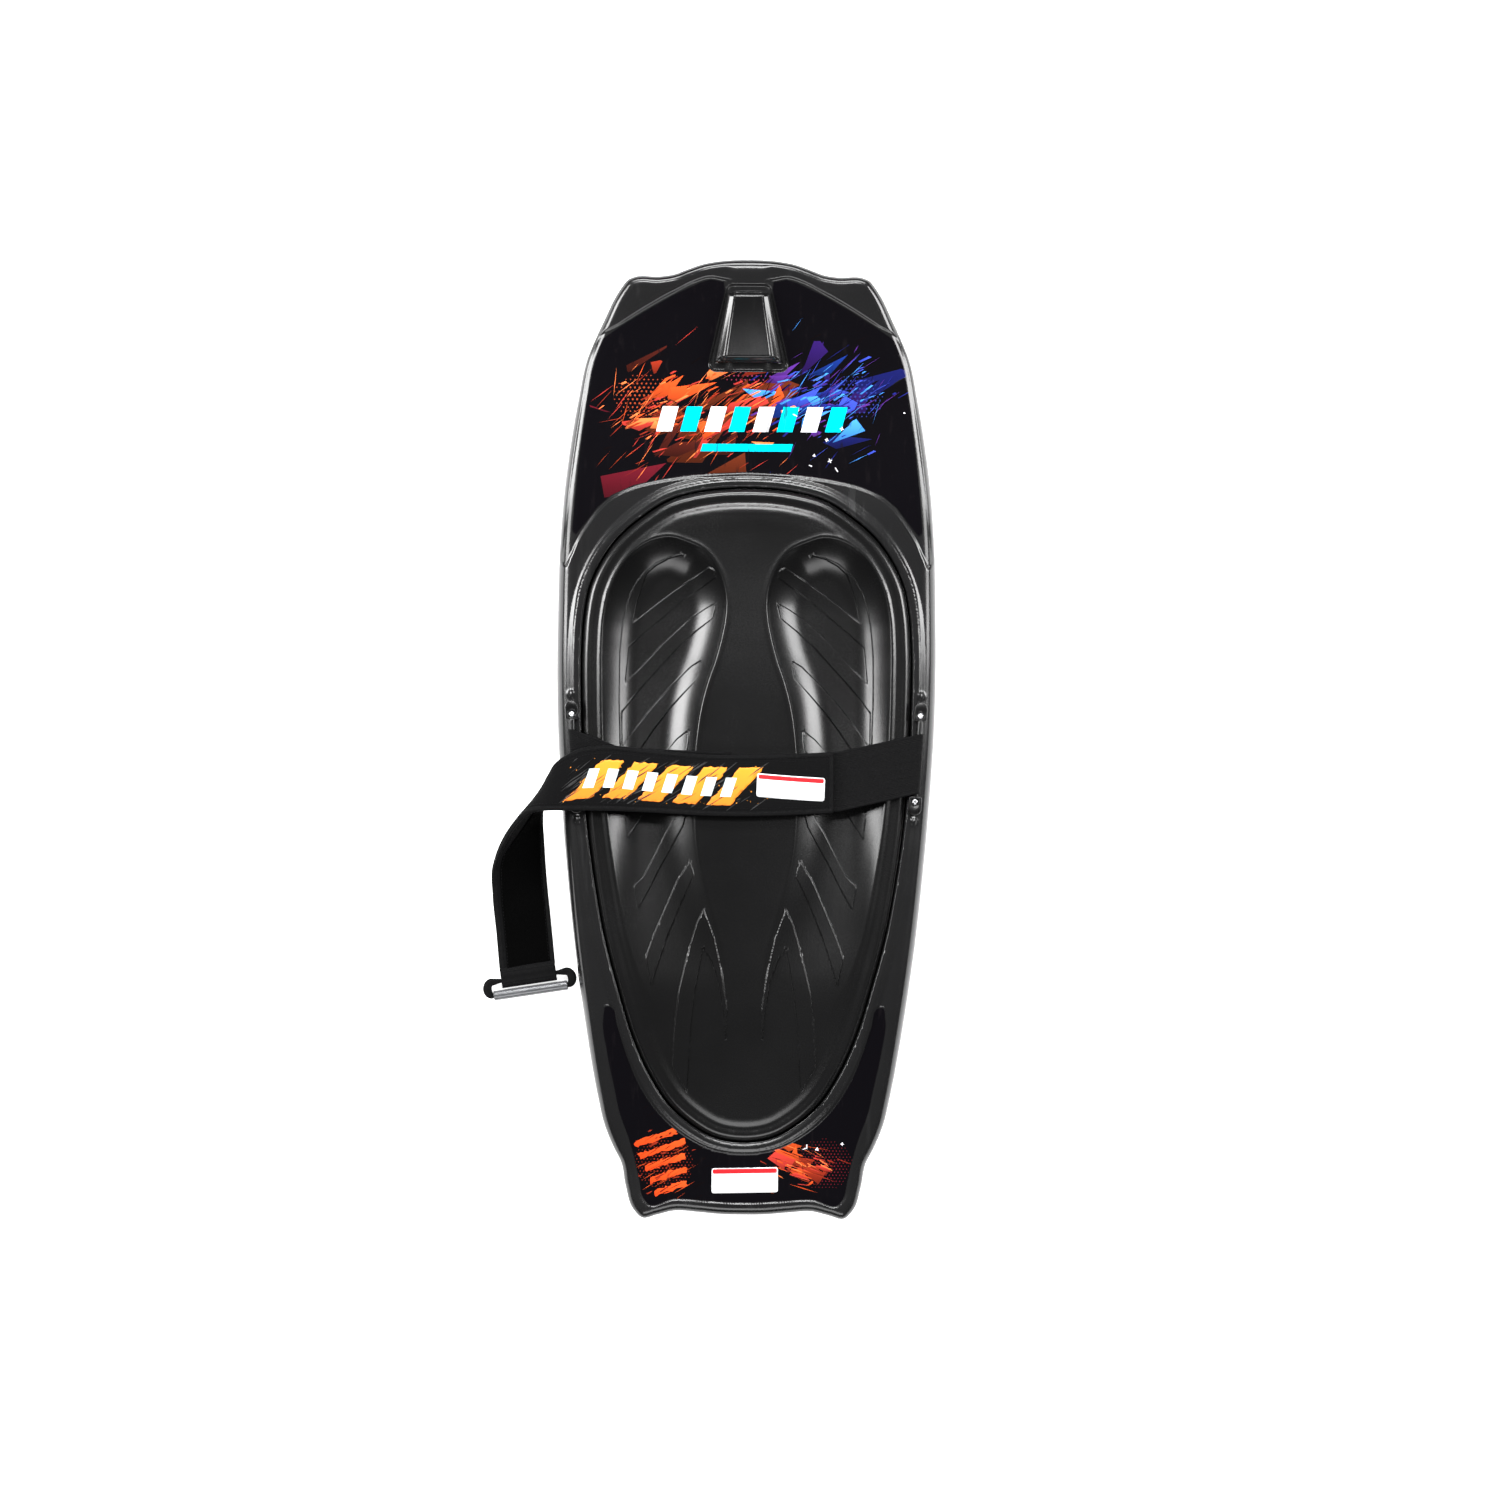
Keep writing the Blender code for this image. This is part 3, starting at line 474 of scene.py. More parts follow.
def printed_film(name):
    look = Finish(name, (0.01, 0.01, 0.01), 0.15, coat=0.05, coat_roughness=0.05)
    art = look.node("ShaderNodeVertexColor", layer_name="Art").outputs[0]
    look.tint(1.0, art)
    streak = look.noise(120, 5, (1, 0.12, 1), 0.65, -0.85)
    look.tint(look.span(streak, 0.60, 0.66, 0, 0.62), (0.006, 0.005, 0.006))
    look.tint(look.span(look.noise(34, 4, (1, 1, 1), 0.6), 0.4, 0.7, 0, 0.18), (0.9, 0.8, 0.8), "MULTIPLY")
    ink = look.node("ShaderNodeTexVoronoi", {"Vector": look.place, "Scale": 1500.0}).outputs[0]
    look.rough(look.span(ink, 0, 0.6, 0.13, 0.17))
    look.set(look.bsdf, {"Specular IOR Level": 0.22})
    look.bump(look.noise(18, 2), 0.05, 0.002)
    look.bump(look.noise(900, 2), 0.02, 0.0002)
    return look.mat


def plain_print(name, roughness, worn=True):
    look = Finish(name, (0.8, 0.3, 0.02), roughness)
    art = look.node("ShaderNodeVertexColor", layer_name="Art").outputs[0]
    look.tint(1.0, art)
    if worn:
        crack = look.noise(700, 4, (1, 1, 1), 0.7)
        look.tint(look.span(crack, 0.62, 0.70, 0, 0.30), (0.05, 0.02, 0.005))
        look.tint(look.span(look.noise(55, 3), 0.35, 0.65, 0, 0.18), (0.95, 0.85, 0.7), "MULTIPLY")
    look.rough(look.span(look.noise(500, 2), 0.3, 0.7, roughness - 0.05, roughness + 0.07))
    look.bump(look.noise(1500, 2), 0.10, 0.0002)
    return look.mat


def knit_fabric(name, colour, thread):
    """Fine knit over neoprene, laid out along the strip's own length and width."""
    look = Finish(name, colour, 0.75, uv=True)
    rows = look.wave(180, "X")
    columns = look.wave(150, "Y")
    knit = look.sums("MULTIPLY", rows, columns)
    fuzz = look.noise(600, 3)
    look.tint(look.span(knit, 0.2, 1.0, 0, 0.40), thread)
    look.tint(look.span(look.noise(14, 3), 0.40, 0.75, 0, 0.35), tuple(c * 1.5 for c in colour))
    look.tint(look.span(look.noise(330, 2), 0.66, 0.74, 0, 0.25), (0.016, 0.016, 0.016))
    look.set(look.bsdf, {"Specular IOR Level": 0.05})
    look.rough(look.span(fuzz, 0.3, 0.7, 0.66, 0.84))
    look.bump(knit, 0.35, 0.0003)
    look.bump(fuzz, 0.25, 0.0004)
    return look.mat


def ribbed_webbing(name, colour, thread, across="Y", ribs=150, picks=330):
    look = Finish(name, colour, 0.62, uv=True)
    along = "X" if across == "Y" else "Y"
    rib = look.wave(ribs, across)
    pick = look.wave(picks, along, distortion=0.6)
    twill = look.wave(120, "DIAGONAL")
    look.tint(look.span(look.sums("MULTIPLY", rib, pick), 0.25, 0.95, 0, 0.55), thread)
    look.tint(look.span(look.noise(420, 3), 0.62, 0.72, 0, 0.30), (0.014, 0.014, 0.014))
    look.set(look.bsdf, {"Specular IOR Level": 0.08})
    look.rough(look.span(look.noise(240, 2), 0.3, 0.7, 0.52, 0.72))
    look.bump(rib, 0.5, 0.0004)
    look.bump(pick, 0.35, 0.0003)
    look.bump(twill, 0.15, 0.0002)
    return look.mat


def hook_tape():
    look = Finish("hook_tape_nap", (0.0010, 0.0010, 0.0010), 0.95)
    dots = look.node("ShaderNodeTexVoronoi", {"Vector": look.place, "Scale": 850.0}).outputs[0]
    look.tint(look.span(dots, 0.0, 0.35, 0.35, 0.0), (0.004, 0.004, 0.004))
    look.rough(look.span(look.noise(500, 2), 0.3, 0.7, 0.88, 1.0))
    look.bump(dots, 0.6, 0.0008)
    look.set(look.bsdf, {"Specular IOR Level": 0.02})
    return look.mat


def metal(name, colour, roughness, turned_scale):
    look = Finish(name, colour, roughness, metallic=1.0)
    lines = look.noise(turned_scale, 3, (1, 1, 0.05))
    look.rough(look.span(lines, 0.3, 0.7, roughness - 0.06, roughness + 0.12))
    look.tint(look.span(look.noise(260, 3), 0.5, 0.8, 0, 0.4), tuple(c * 0.6 for c in colour))
    look.bump(lines, 0.15, 0.0002)
    return look.mat


def foam_look():
    look = Finish("closed_cell_foam", (0.74, 0.66, 0.42), 0.9)
    cells = look.node("ShaderNodeTexVoronoi", {"Vector": look.place, "Scale": 420.0}).outputs[0]
    look.tint(look.span(cells, 0, 0.6, 0.45, 0), (0.52, 0.43, 0.22))
    look.tint(look.span(look.noise(12, 3), 0.4, 0.7, 0, 0.3), (0.80, 0.62, 0.30))
    look.rough(look.span(cells, 0, 0.5, 0.95, 0.8))
    look.bump(cells, 0.5, 0.0010)
    return look.mat


def grip_look():
    look = Finish("grip_tube_plastic", (0.11, 0.112, 0.118), 0.24, metallic=0.45)
    lines = look.noise(500, 3, (0.03, 1, 1), 0.6, -0.154)
    look.tint(look.span(lines, 0.35, 0.7, 0, 0.5), (0.19, 0.193, 0.20))
    look.tint(look.span(look.noise(200, 3), 0.60, 0.72, 0, 0.35), (0.10, 0.10, 0.11))
    look.rough(look.span(lines, 0.3, 0.7, 0.20, 0.34))
    look.bump(lines, 0.12, 0.0003)
    return look.mat


HULL = moulded_plastic("hull_moulded", (0.0095, 0.0095, 0.0098), 0.19, 0.05)
GLOSS_BLACK = moulded_plastic("horn_moulded", (0.0040, 0.0040, 0.0042), 0.20, 0.05)
NYLON = moulded_plastic("anchor_nylon_look", (0.0025, 0.0025, 0.0027), 0.26, 0.10)
EVA = eva_skin()
FILM = printed_film("printed_film")
CREAM_PRINT = plain_print("label_print", 0.35, worn=False)
STRAP_PRINT = plain_print("strap_print", 0.55)
KNIT = knit_fabric("neoprene_knit", (0.0028, 0.0028, 0.0030), (0.0075, 0.0075, 0.0080))
BINDING = ribbed_webbing("edge_binding", (0.0022, 0.0022, 0.0024), (0.0070, 0.0070, 0.0075), "X", 260, 260)
WEBBING = ribbed_webbing("ribbed_webbing", (0.0020, 0.0020, 0.0022), (0.0065, 0.0065, 0.0070))
THREAD = ribbed_webbing("stitching", (0.0045, 0.0045, 0.0050), (0.012, 0.012, 0.013), "X", 500, 500)
HOOKS = hook_tape()
STEEL = metal("screw_steel_look", (0.62, 0.62, 0.64), 0.22, 700)
BRASS = metal("insert_brass_look", (0.72, 0.52, 0.22), 0.30, 700)
FOAM = foam_look()
GRIP = grip_look()


# ---------------------------------------------------------------- hull

# Half outlines in millimetres, measured on the photo and mirrored.
HULL_HALF = [
    (0, 637), (40, 635), (62, 631), (80, 625), (100, 618), (118, 615.5), (150, 615), (160, 611), (167, 603),
    (177, 588), (190, 562), (203, 535), (214, 509), (226, 455), (235.5, 402), (243, 349), (250, 269),
             (253, 163),
    (253.5, 110), (251, 3), (246, -76), (239.5, -156), (228.5, -263), (213.5, -369), (194.5, -475),
             (187, -507),
    (172.5, -542), (163, -560), (157, -590), (146, -622), (134, -633), (115, -629), (92, -623.5), (60, -625),
    (30, -627.5), (0, -628),
]
PAD_HALF = [
    (0, 338), (62, 333), (105, 321), (140, 299), (172, 271), (193, 242), (209, 207), (216, 171), (219, 130),
    (219, 50), (216, -30), (210, -110), (199, -190), (186, -260), (170, -320), (146, -397), (126, -441),
    (99, -482), (68, -509), (41, -524), (0, -531),
]
NOSE_FILM_HALF = [(33, 607), (50, 610), (64, 606), (99, 590), (135, 570), (168, 550), (193, 533), (204, 508),
                  (209, 490), (216, 441), (223, 384), (229, 327), (233, 280), (228, 275), (215, 291),
                  (199, 312),
                  (180, 328), (151, 341), (117, 349), (77, 355), (28, 358), (0, 359)]
# The sunk area round the nose film; it runs back past the film in a narrow point on each side.
NOSE_SINK_HALF = [(30, 611), (52, 614), (70, 609), (101, 594), (137, 574), (171, 553), (198, 537), (209, 510),
                  (216, 480), (224, 430), (233, 368), (240, 315), (246, 262), (247, 238), (242, 232),
                  (234, 246),
                  (223, 270), (210, 290), (196, 308), (178, 324), (149, 337), (116, 345), (76, 351),
                  (28, 354),
                  (0, 355)]
TAIL_FILM_HALF = [(0, -546), (40, -541), (76, -525), (109, -498), (137, -459), (155, -418), (168, -378),
                  (177, -352),
                  (184, -351), (188, -366), (183, -412), (174, -455), (165, -495), (153, -528), (146, -552),
                  (139, -582), (133, -606), (126, -614), (92, -607), (50, -609), (0, -611)]
# The right anchor's middle, how far its line leans outwards, and the small bumps past each anchor's ends.
ANCHOR, LEAN, TIP_REACH = (0.22825, -0.0205), 0.0575, 0.0835
ANCHOR_TIPS = [(side * (ANCHOR[0] + LEAN * end * TIP_REACH), ANCHOR[1] + end * TIP_REACH)
               for side in (-1, 1) for end in (-1, 1)]
BUMP_RISE, BUMP_REACH = 0.0016, 0.0048
RAIL_STEPS = [0.0005, 0.0013, 0.0024, 0.0038, 0.0055, 0.0075, 0.0095, 0.0120, 0.0150, 0.0180, 0.0215]
hull_line = closed_curve(mirrored(HULL_HALF), 760)
pad_line = closed_curve(mirrored(PAD_HALF), 500)
nose_sink = closed_curve(mirrored(NOSE_SINK_HALF), 620)
nose_film = resampled(np.array(mirrored(NOSE_FILM_HALF) + [mirrored(NOSE_FILM_HALF)[0]]), 420)[:-1]
tail_film = closed_curve(mirrored(TAIL_FILM_HALF), 420)
hull_fine, pad_fine = closed_curve(mirrored(HULL_HALF), 2400), closed_curve(mirrored(PAD_HALF), 2000)
sink_fine, tail_fine = closed_curve(mirrored(NOSE_SINK_HALF), 2200), closed_curve(mirrored(TAIL_FILM_HALF),
                                                                                  1800)


def trapezoid(front_y, rear_y, front_half, rear_half, corner, count=120):
    """A closed clockwise outline with rounded corners, wider at the rear."""
    corners = [(front_half, front_y, math.pi / 2), (rear_half, rear_y, 0)]
    points = []
    for x, y, start in corners:
        cy = y - corner if start else y + corner
        cx = x - corner
        for k in range(9):
            a = start - k / 8 * math.pi / 2
            points.append((cx + corner * math.cos(a), cy + corner * math.sin(a)))
    points += [(-x, y) for x, y in reversed(points)]
    return resampled(np.array(points + points[:1]) * MM, count + 1)[:-1]


HORN_WELL = trapezoid(604, 492, 30, 52, 9)
horn_fine = trapezoid(604, 492, 30, 52, 9, 500)


def rail_inset(loop, inset):
    """The rail line drawn inwards towards the board's spine."""
    p = np.asarray(loop)
    spine = np.clip(p[:, 1], -0.50, 0.50)
    out = np.column_stack([p[:, 0], p[:, 1] - spine])
    back = np.column_stack([np.zeros(len(p)), spine])
    return out * (1 - inset / np.linalg.norm(out, axis=1))[:, None] + back


# Depths of the deck's low areas, the width of the lip round the pad, and the width of the rounded rail.
LOW_DEPTH, SINK_DEPTH, TAIL_DEPTH, HORN_DEPTH = 0.0019, 0.0020, 0.0008, 0.0030
PAD_LIP, RAIL_ROUND = 0.0132, 0.026


def hull_relief(p):
    """Height of the hull's deck side at plan points."""
    x, y = p[:, 0], p[:, 1]
    rail = gap_to(p, hull_fine)
    pad = gap_to(p, pad_fine)
    z = rocker(y) + thickness(y) * (0.5 + 0.5 * np.sqrt(1 - (1 - np.clip(rail / RAIL_ROUND, 0, 1)) ** 2.4))
    strip = (1 - ss((np.abs(x) - 0.018) / 0.016)) * ss((y - 0.47) / 0.03)
    low = ss((pad - PAD_LIP + 0.0010) / 0.0065) * ss((rail - 0.0060) / 0.0130) * (1 - strip)
    z -= LOW_DEPTH * low
    sunk = depth_in(p, sink_fine)
    z -= SINK_DEPTH * ss((sunk + 0.0016) / 0.0046) * (1 - strip)
    tail = depth_in(p, tail_fine)
    z -= TAIL_DEPTH * ss((tail + 0.0030) / 0.0034)
    horn = depth_in(p, horn_fine)
    z -= HORN_DEPTH * ss((horn + 0.0015) / 0.0040)
    z += 0.0012 * (1 - ss(np.abs(pad - 0.0072) / 0.0068)) * ss((PAD_LIP - pad) / 0.003)
    z -= 0.0016 * (1 - ss((pad - 0.0015) / 0.0016))
    for cx, cy in ANCHOR_TIPS:
        z += BUMP_RISE * np.exp(-(np.hypot(x - cx, y - cy) / BUMP_REACH) ** 3)
    return z


def build_hull():
    rail = hull_line
    lip = shifted(pad_line, 0.0016)
    lip_rings = [shifted(pad_line, d) for d in (.0020, .0025, .0032, .0042, .0060, .0085, .0110, .0132, .0152,
                                                .0175,
                                                .0200, .0225)]
    rails = [rail_inset(rail, d) for d in RAIL_STEPS]
    sink = [shifted(nose_sink, d) for d in (-.0040, -.0028, -.0016, -.0004, .0008, .0020, .0034)]
    tail = [shifted(tail_film, d) for d in (-.0008, .0003, .0014, .0025, .0038)]
    horn = [shifted(HORN_WELL, d) for d in (-.003, -.0015, 0, .0015)]
    strip = [np.column_stack([np.full(60, s * x), np.linspace(0.49, 0.622, 60)])
             for s in (-1, 1) for x in (.018, .022, .026, .030, .034)]
    bump_radii = (.0008, .0020, .0032, .0044, .0056, .0070, .0088)
    bumps = [disc(cx, cy, r, 26) for cx, cy in ANCHOR_TIPS for r in bump_radii]
    grid = hex_grid(hull_line.min(0), hull_line.max(0), 0.0058)
    sets = [np.vstack(group) for group in (lip_rings, rails, sink, tail, horn, bumps, strip)]
    fine = hex_grid(hull_line.min(0), hull_line.max(0), 0.0020)
    fine = fine[np.abs(gap_to(fine, pad_fine) - 0.0145) < 0.0095]
    loose = spread([spread([spread([rail, lip] + sets, 0.0004), fine], 0.0009), grid], 0.0015)
    loose = loose[len(rail) + len(lip):]
    keep = inside(loose, rail_inset(rail, 0.0003)) & ~inside(loose, shifted(lip, 0.0002))
    p, f = triangles(rail, [lip], [], loose[keep])
    p, f = used_only(p, f)
    deck = np.column_stack([p, hull_relief(p)])
    edge = gap_to(p, rail) < 1e-6
    deck[edge, 2] = rocker(p[edge, 1]) + thickness(p[edge, 1]) * 0.5
    parts = [(deck, f.tolist())]

    keel = [(0, .50), (.0007, .43), (.002, .35), (.0035, .30), (.0055, .25), (.0085, .18), (.014, .105),
            (.021, .065),
            (.033, .034), (.052, .012), (.080, 0)]
    count = len(rail)
    rings = []
    for inset, level in keel:
        q = rail_inset(rail, inset)
        rings.append(np.column_stack([q, rocker(q[:, 1]) + thickness(q[:, 1]) * level]))
    last = rail_inset(rail, 0.080)
    spine = np.clip(rail[:, 1], -0.50, 0.50)
    for share in (.88, .76, .64, .52, .40, .28, .16, .07, .012):
        q = np.column_stack([last[:, 0] * share, spine + (last[:, 1] - spine) * share])
        rings.append(np.column_stack([q, rocker(q[:, 1])]))
    verts = np.vstack(rings)
    faces = ring_faces(count, len(rings))
    start = (len(rings) - 1) * count
    for i in range(count // 2):
        corners = [start + i, start + i + 1, start + (count - i - 1) % count, start + (count - i) % count]
        unique = tuple(dict.fromkeys(corners))
        if len(unique) > 2:
            faces.append(unique)
    parts.append((verts, faces))

    wall = []
    for drop in (0, .0006, .0016, .004, .012, .024):
        q = shifted(pad_line, 0.0016 - min(drop, .0012) * 0.6)
        top = hull_relief(lip) - drop
        floor = rocker(q[:, 1]) + 0.024
        wall.append(np.column_stack([q, np.maximum(top, floor) if drop < .024 else floor]))
    verts = np.vstack(wall)
    faces = ring_faces(len(lip), len(wall))
    parts.append((verts, faces))
    floor_line = wall[-1][:, :2]
    p, f = triangles(floor_line, [], [], hex_grid(floor_line.min(0), floor_line.max(0), 0.022))
    p, f = used_only(p, f)
    parts.append((np.column_stack([p, rocker(p[:, 1]) + 0.024]), f.tolist()))

    verts, faces = merged(parts)
    made = mesh_piece("hull_body", verts, faces, HULL)
    fix_normals(made, HULL_WELD)
    follow_slope(made, hull_relief, lambda co: gap_to(co[:, :2], rail) < 0.0004)
    placed(made, "board", ["hull_shell"])


def build_horn():
    """The moulded tow horn: a tapering block that rises towards its undercut rear lip."""
    rows = 46
    front_y, rear_y = 0.5945, 0.5035
    # Half section: shares of the base half width and of the rise, with a raised bead on top.
    section = [(1.0, -.30), (1.0, .02), (.995, .10), (.93, .52), (.905, .63), (.86, .70), (.775, .86),
               (.74, .94),
               (.70, .99), (.665, 1.0), (.645, .985), (.63, .955), (.60, .945), (.30, .945), (0, .95)]
    rings = []
    for k in range(rows):
        t = k / (rows - 1)
        y = front_y + (rear_y - front_y) * t
        half = 0.0262 + (0.0462 - 0.0262) * t
        rise = 0.0070 + 0.0140 * t
        rise *= 0.35 + 0.65 * float(ss(t / 0.07))
        half *= 0.93 + 0.07 * float(ss(t / 0.05))
        edge = float(ss((1 - t) / 0.06))
        ring = []
        for x, level in section:
            lifted = level if level < .6 else .6 + (level - .6) * edge
            ring.append((half * x * (0.985 + 0.015 * edge), y, float(deck_at(y)) - 0.0045 + rise * lifted
                         + 0.0045 * (level > -.2)))
        full = ring + [(-x, yy, z) for x, yy, z in reversed(ring[:-1])]
        rings.append(full)
    # The rear lip turns down and back under, over the slot for a rope handle.
    rear = rings[-1]
    base = float(deck_at(rear_y))
    for back, drop in ((.0012, .0012), (.0016, .0035), (.0010, .0062), (-.0030, .0078), (-.0120, .0082)):
        rings.append([(x * (1 - drop * 2), y - back, max(z - drop, base - 0.006) if z > base + 0.002 else z)
                      for x, y, z in rear])
    count = len(rings[0])
    verts = np.array([v for ring in rings for v in ring])
    faces = []
    for r in range(len(rings) - 1):
        for i in range(count - 1):
            a, b = r * count + i, (r + 1) * count + i
            faces.append((a, a + 1, b + 1, b))
        faces.append((r * count + count - 1, r * count, (r + 1) * count, (r + 1) * count + count - 1))
    faces.append(tuple(range(count))[::-1])
    faces.append(tuple((len(rings) - 1) * count + i for i in range(count)))
    made = mesh_piece("tow_horn", verts, faces, GLOSS_BLACK)
    mod = made.modifiers.new("fine", "SUBSURF")
    mod.levels = mod.render_levels = 2
    placed(made, "board")


def build_fins():
    for side, word in ((-1, "left"), (1, "right")):
        rings = []
        for k in range(25):
            t = k / 24
            y = -0.45 - 0.12 * t
            depth = 0.002 + 0.012 * max(math.sin(math.pi * t), 0) ** 0.7
            top = float(rocker(y)) + 0.0015
            half = 0.0035 * (0.35 + 0.65 * math.sin(math.pi * t) ** 0.5) + 0.0003
            ring = [(-1, 0), (-.92, -.45), (-.75, -.8), (-.45, -.97), (0, -1), (.45, -.97), (.75, -.8),
                    (.92, -.45), (1, 0)]
            rings.append([(side * 0.085 + half * a, y, top + depth * b) for a, b in ring])
        verts = np.array([v for ring in rings for v in ring])
        made = mesh_piece(f"tail_fin_{word}", verts, capped_rings(9, 25), HULL)
        fix_normals(made)
        placed(made, "board")


build_hull()
build_horn()
build_fins()


# ---------------------------------------------------------------- knee pad

# Distance from the spine and place along the board in millimetres, measured on the photo: the shin
# wells' rims, and the raised lines on their floors. Both sides are the same.
WELL = [(101, 272), (80, 266), (60, 257), (42, 237), (31, 212), (27, 190), (28, 165), (33, 138), (41, 108),
        (50, 82),
        (59, 48), (65, 8), (68, -40), (68, -88), (65, -136), (56, -186), (42, -235), (31, -271), (24, -308),
        (20, -350),
        (24, -395), (48, -412), (78, -400), (108, -365), (132, -322), (153, -268), (168, -208), (179, -140),
        (187, -60),
        (191, 20), (192, 80), (192, 130), (190, 165), (183, 199), (170, 229), (150, 254), (126, 268)]
COMB = [(86.6, 250.4), (104.9, 246.1), (122.0, 238.6), (134.9, 227.9), (145.6, 215.0), (154.2, 200.0),
        (160.6, 180.7),
        (164.9, 159.2), (167.1, 137.8), (168.8, 116.3), (169.2, 84.2), (169.2, 52.0), (168.1, 19.8),
        (167.1, -8.1),
        (165.0, -25.0), (161.5, -40.0), (143.0, -12.3), (122.5, 17.7), (101.1, 45.5), (81.8, 67.0),
        (63.6, 86.3),
        (61.0, 108.8), (73.9, 101.3), (84.6, 90.6), (101.8, 73.4), (123.2, 49.8), (146.8, 19.8),
        (165.0, -6.0),
        (165.5, 40.2), (150.7, 60.0), (133.6, 79.9), (112.1, 103.4), (90.7, 127.0), (67.1, 148.5),
        (45.3, 165.6),
        (40.3, 186.0), (56.4, 177.4), (77.8, 163.5), (90.7, 151.7), (112.1, 131.3), (133.6, 107.7),
        (161.5, 78.8),
        (157.2, 127.0), (138.0, 144.2), (112.1, 165.6), (86.4, 188.1), (60.7, 206.4), (41.4, 219.3),
        (43.2, 228.5),
        (50.6, 233.2), (78.0, 215.0), (97.2, 202.1), (122.9, 182.8), (151.5, 159.7), (146.6, 185.0),
        (140.1, 206.4),
        (133.7, 223.6), (120.8, 235.6), (105.0, 244.3), (86.6, 249.6)]
BARS = [
    [(76.0, 16.6), (92.0, 4.0), (111.0, -18.0), (130.0, -45.0), (147.0, -75.0), (160.0, -97.0),
     (156.5, -127.5),
     (143.0, -107.0), (126.0, -78.0), (108.0, -49.0), (92.0, -25.0), (78.5, -10.6), (76.5, 2.0)],
    [(76.5, -77.0), (90.0, -95.0), (106.0, -122.0), (121.0, -152.0), (135.0, -178.0), (147.8, -190.3),
     (142.5, -221.5),
     (128.0, -196.0), (113.0, -166.0), (98.0, -139.0), (82.9, -111.2), (79.5, -98.0)],
    [(73.4, -157.6), (90.0, -184.0), (107.0, -224.0), (121.0, -257.0), (131.0, -285.0), (123.4, -322.0),
     (114.0, -292.0), (103.0, -258.0), (86.0, -216.0), (67.5, -176.0)],
    [(54.4, -221.8), (63.0, -238.0), (76.0, -283.0), (87.2, -331.0), (92.8, -382.0), (95.0, -430.0),
     (75.6, -463.4),
     (72.9, -416.7), (70.7, -374.0), (65.9, -331.5), (58.8, -292.0), (55.0, -272.4), (44.0, -289.0),
     (34.2, -317.4),
     (27.3, -360.0), (24.4, -393.7), (23.0, -354.0), (28.6, -311.8), (40.0, -261.0)],
]
WELL_LINE = closed_curve(np.array(WELL) * MM * [-1, 1], 520)
RAISED = [resampled(np.array(shape + shape[:1]) * MM * [-1, 1], max(60, len(shape) * 9))[:-1]
          for shape in [COMB] + BARS]
EDGE_SHAPE = ([0, .0006, .0014, .0028, .0048, .0075, .0105, .0140, .0175, .0205, .0235, .0265, .035, .060,
               .10, .6],
              [-.0034, -.0016, .0002, .0020, .0036, .0046, .0047, .0041, .0038, .0044, .0055, .0062, .0068,
               .0074, .0080, .0080])


# The pad's height near its edge: distance in from the edge, and height above the deck line.
EDGE_TABLE = open_curve(np.column_stack(EDGE_SHAPE), 6000)
WELL_FINE = closed_curve(np.array(WELL) * MM * [-1, 1], 1500)


# The shin wells' full depth, the width of their sloping sides, and the height of the raised lines.
WELL_DEPTH, WELL_SIDE, LINE_RISE = 0.0315, 0.054, 0.0018


def pad_height(p):
    """Height of the knee pad's top at plan points."""
    x, y = p[:, 0], p[:, 1]
    left = np.column_stack([-np.abs(x), y])
    edge = gap_to(p, pad_edge_fine)
    z = rocker(y) + thickness(y) + np.interp(edge, EDGE_TABLE[:, 0], EDGE_TABLE[:, 1])
    well = depth_in(left, WELL_FINE)
    reach = np.maximum(well, 0)
    full = WELL_DEPTH * ss((y + 0.40) / 0.52) * (1 - 0.12 * ss((y - 0.17) / 0.1))
    bowl = 1 - (1 - np.clip(reach / WELL_SIDE, 0, 1)) ** 2.0
    soft = ss((well + 0.0030) / 0.0070)
    z -= full * bowl * (0.35 + 0.65 * soft)
    z -= 0.0006 * full / WELL_DEPTH * soft
    z += 0.0005 * np.exp(-((well + 0.0030) / 0.0026) ** 2) * (full / WELL_DEPTH)
    raised = np.full(len(p), -1.0)
    for shape in RAISED:
        raised = np.maximum(raised, depth_in(left, shape))
    z += LINE_RISE * ss((raised + 0.0008) / 0.0016)
    return z


pad_edge = shifted(pad_line, -0.0014)
pad_edge_fine = shifted(pad_fine, -0.0014)


def build_pad():
    rings = [shifted(pad_edge, -d) for d in (.0006, .0014, .0028, .0048, .0075, .0105, .0140, .0175, .0205,
                                             .0235, .0265)]
    both = [1, -1]
    wells = [shifted(WELL_LINE, d) * [s, 1] for s in both
             for d in (.0130, .0090, .0062, .0044, .0030, .0018, .0008, -.0002, -.0012, -.0024, -.0038,
                       -.0055, -.0080)]
    bars = [shifted(shape, d) * [s, 1] for shape in RAISED for s in both
            for d in (.0026, .0015, .0008, .0004, 0, -.0004, -.0008, -.0015, -.0026)]
    grid = hex_grid(pad_edge.min(0), pad_edge.max(0), 0.0052)
    core = spread([pad_edge, np.vstack(wells), np.vstack(bars), np.vstack(rings)], 0.0005)
    loose = spread([core, grid], 0.0016)[len(pad_edge):]
    keep = inside(loose, shifted(pad_edge, -0.0002))
    p, f = triangles(pad_edge, [], [], loose[keep])
    p, f = used_only(p, f)
    verts, faces = slab(p, f, lambda q: np.column_stack([q, pad_height(q)]),
                        lambda q: np.column_stack([q * 0.9985, rocker(q[:, 1]) + 0.0246]))
    made = mesh_piece("knee_pad_skin", verts, faces, EVA)
    fix_normals(made)
    follow_slope(made, pad_height)
    placed(made, "board", ["knee_pad"])


build_pad()


# ---------------------------------------------------------------- printed films

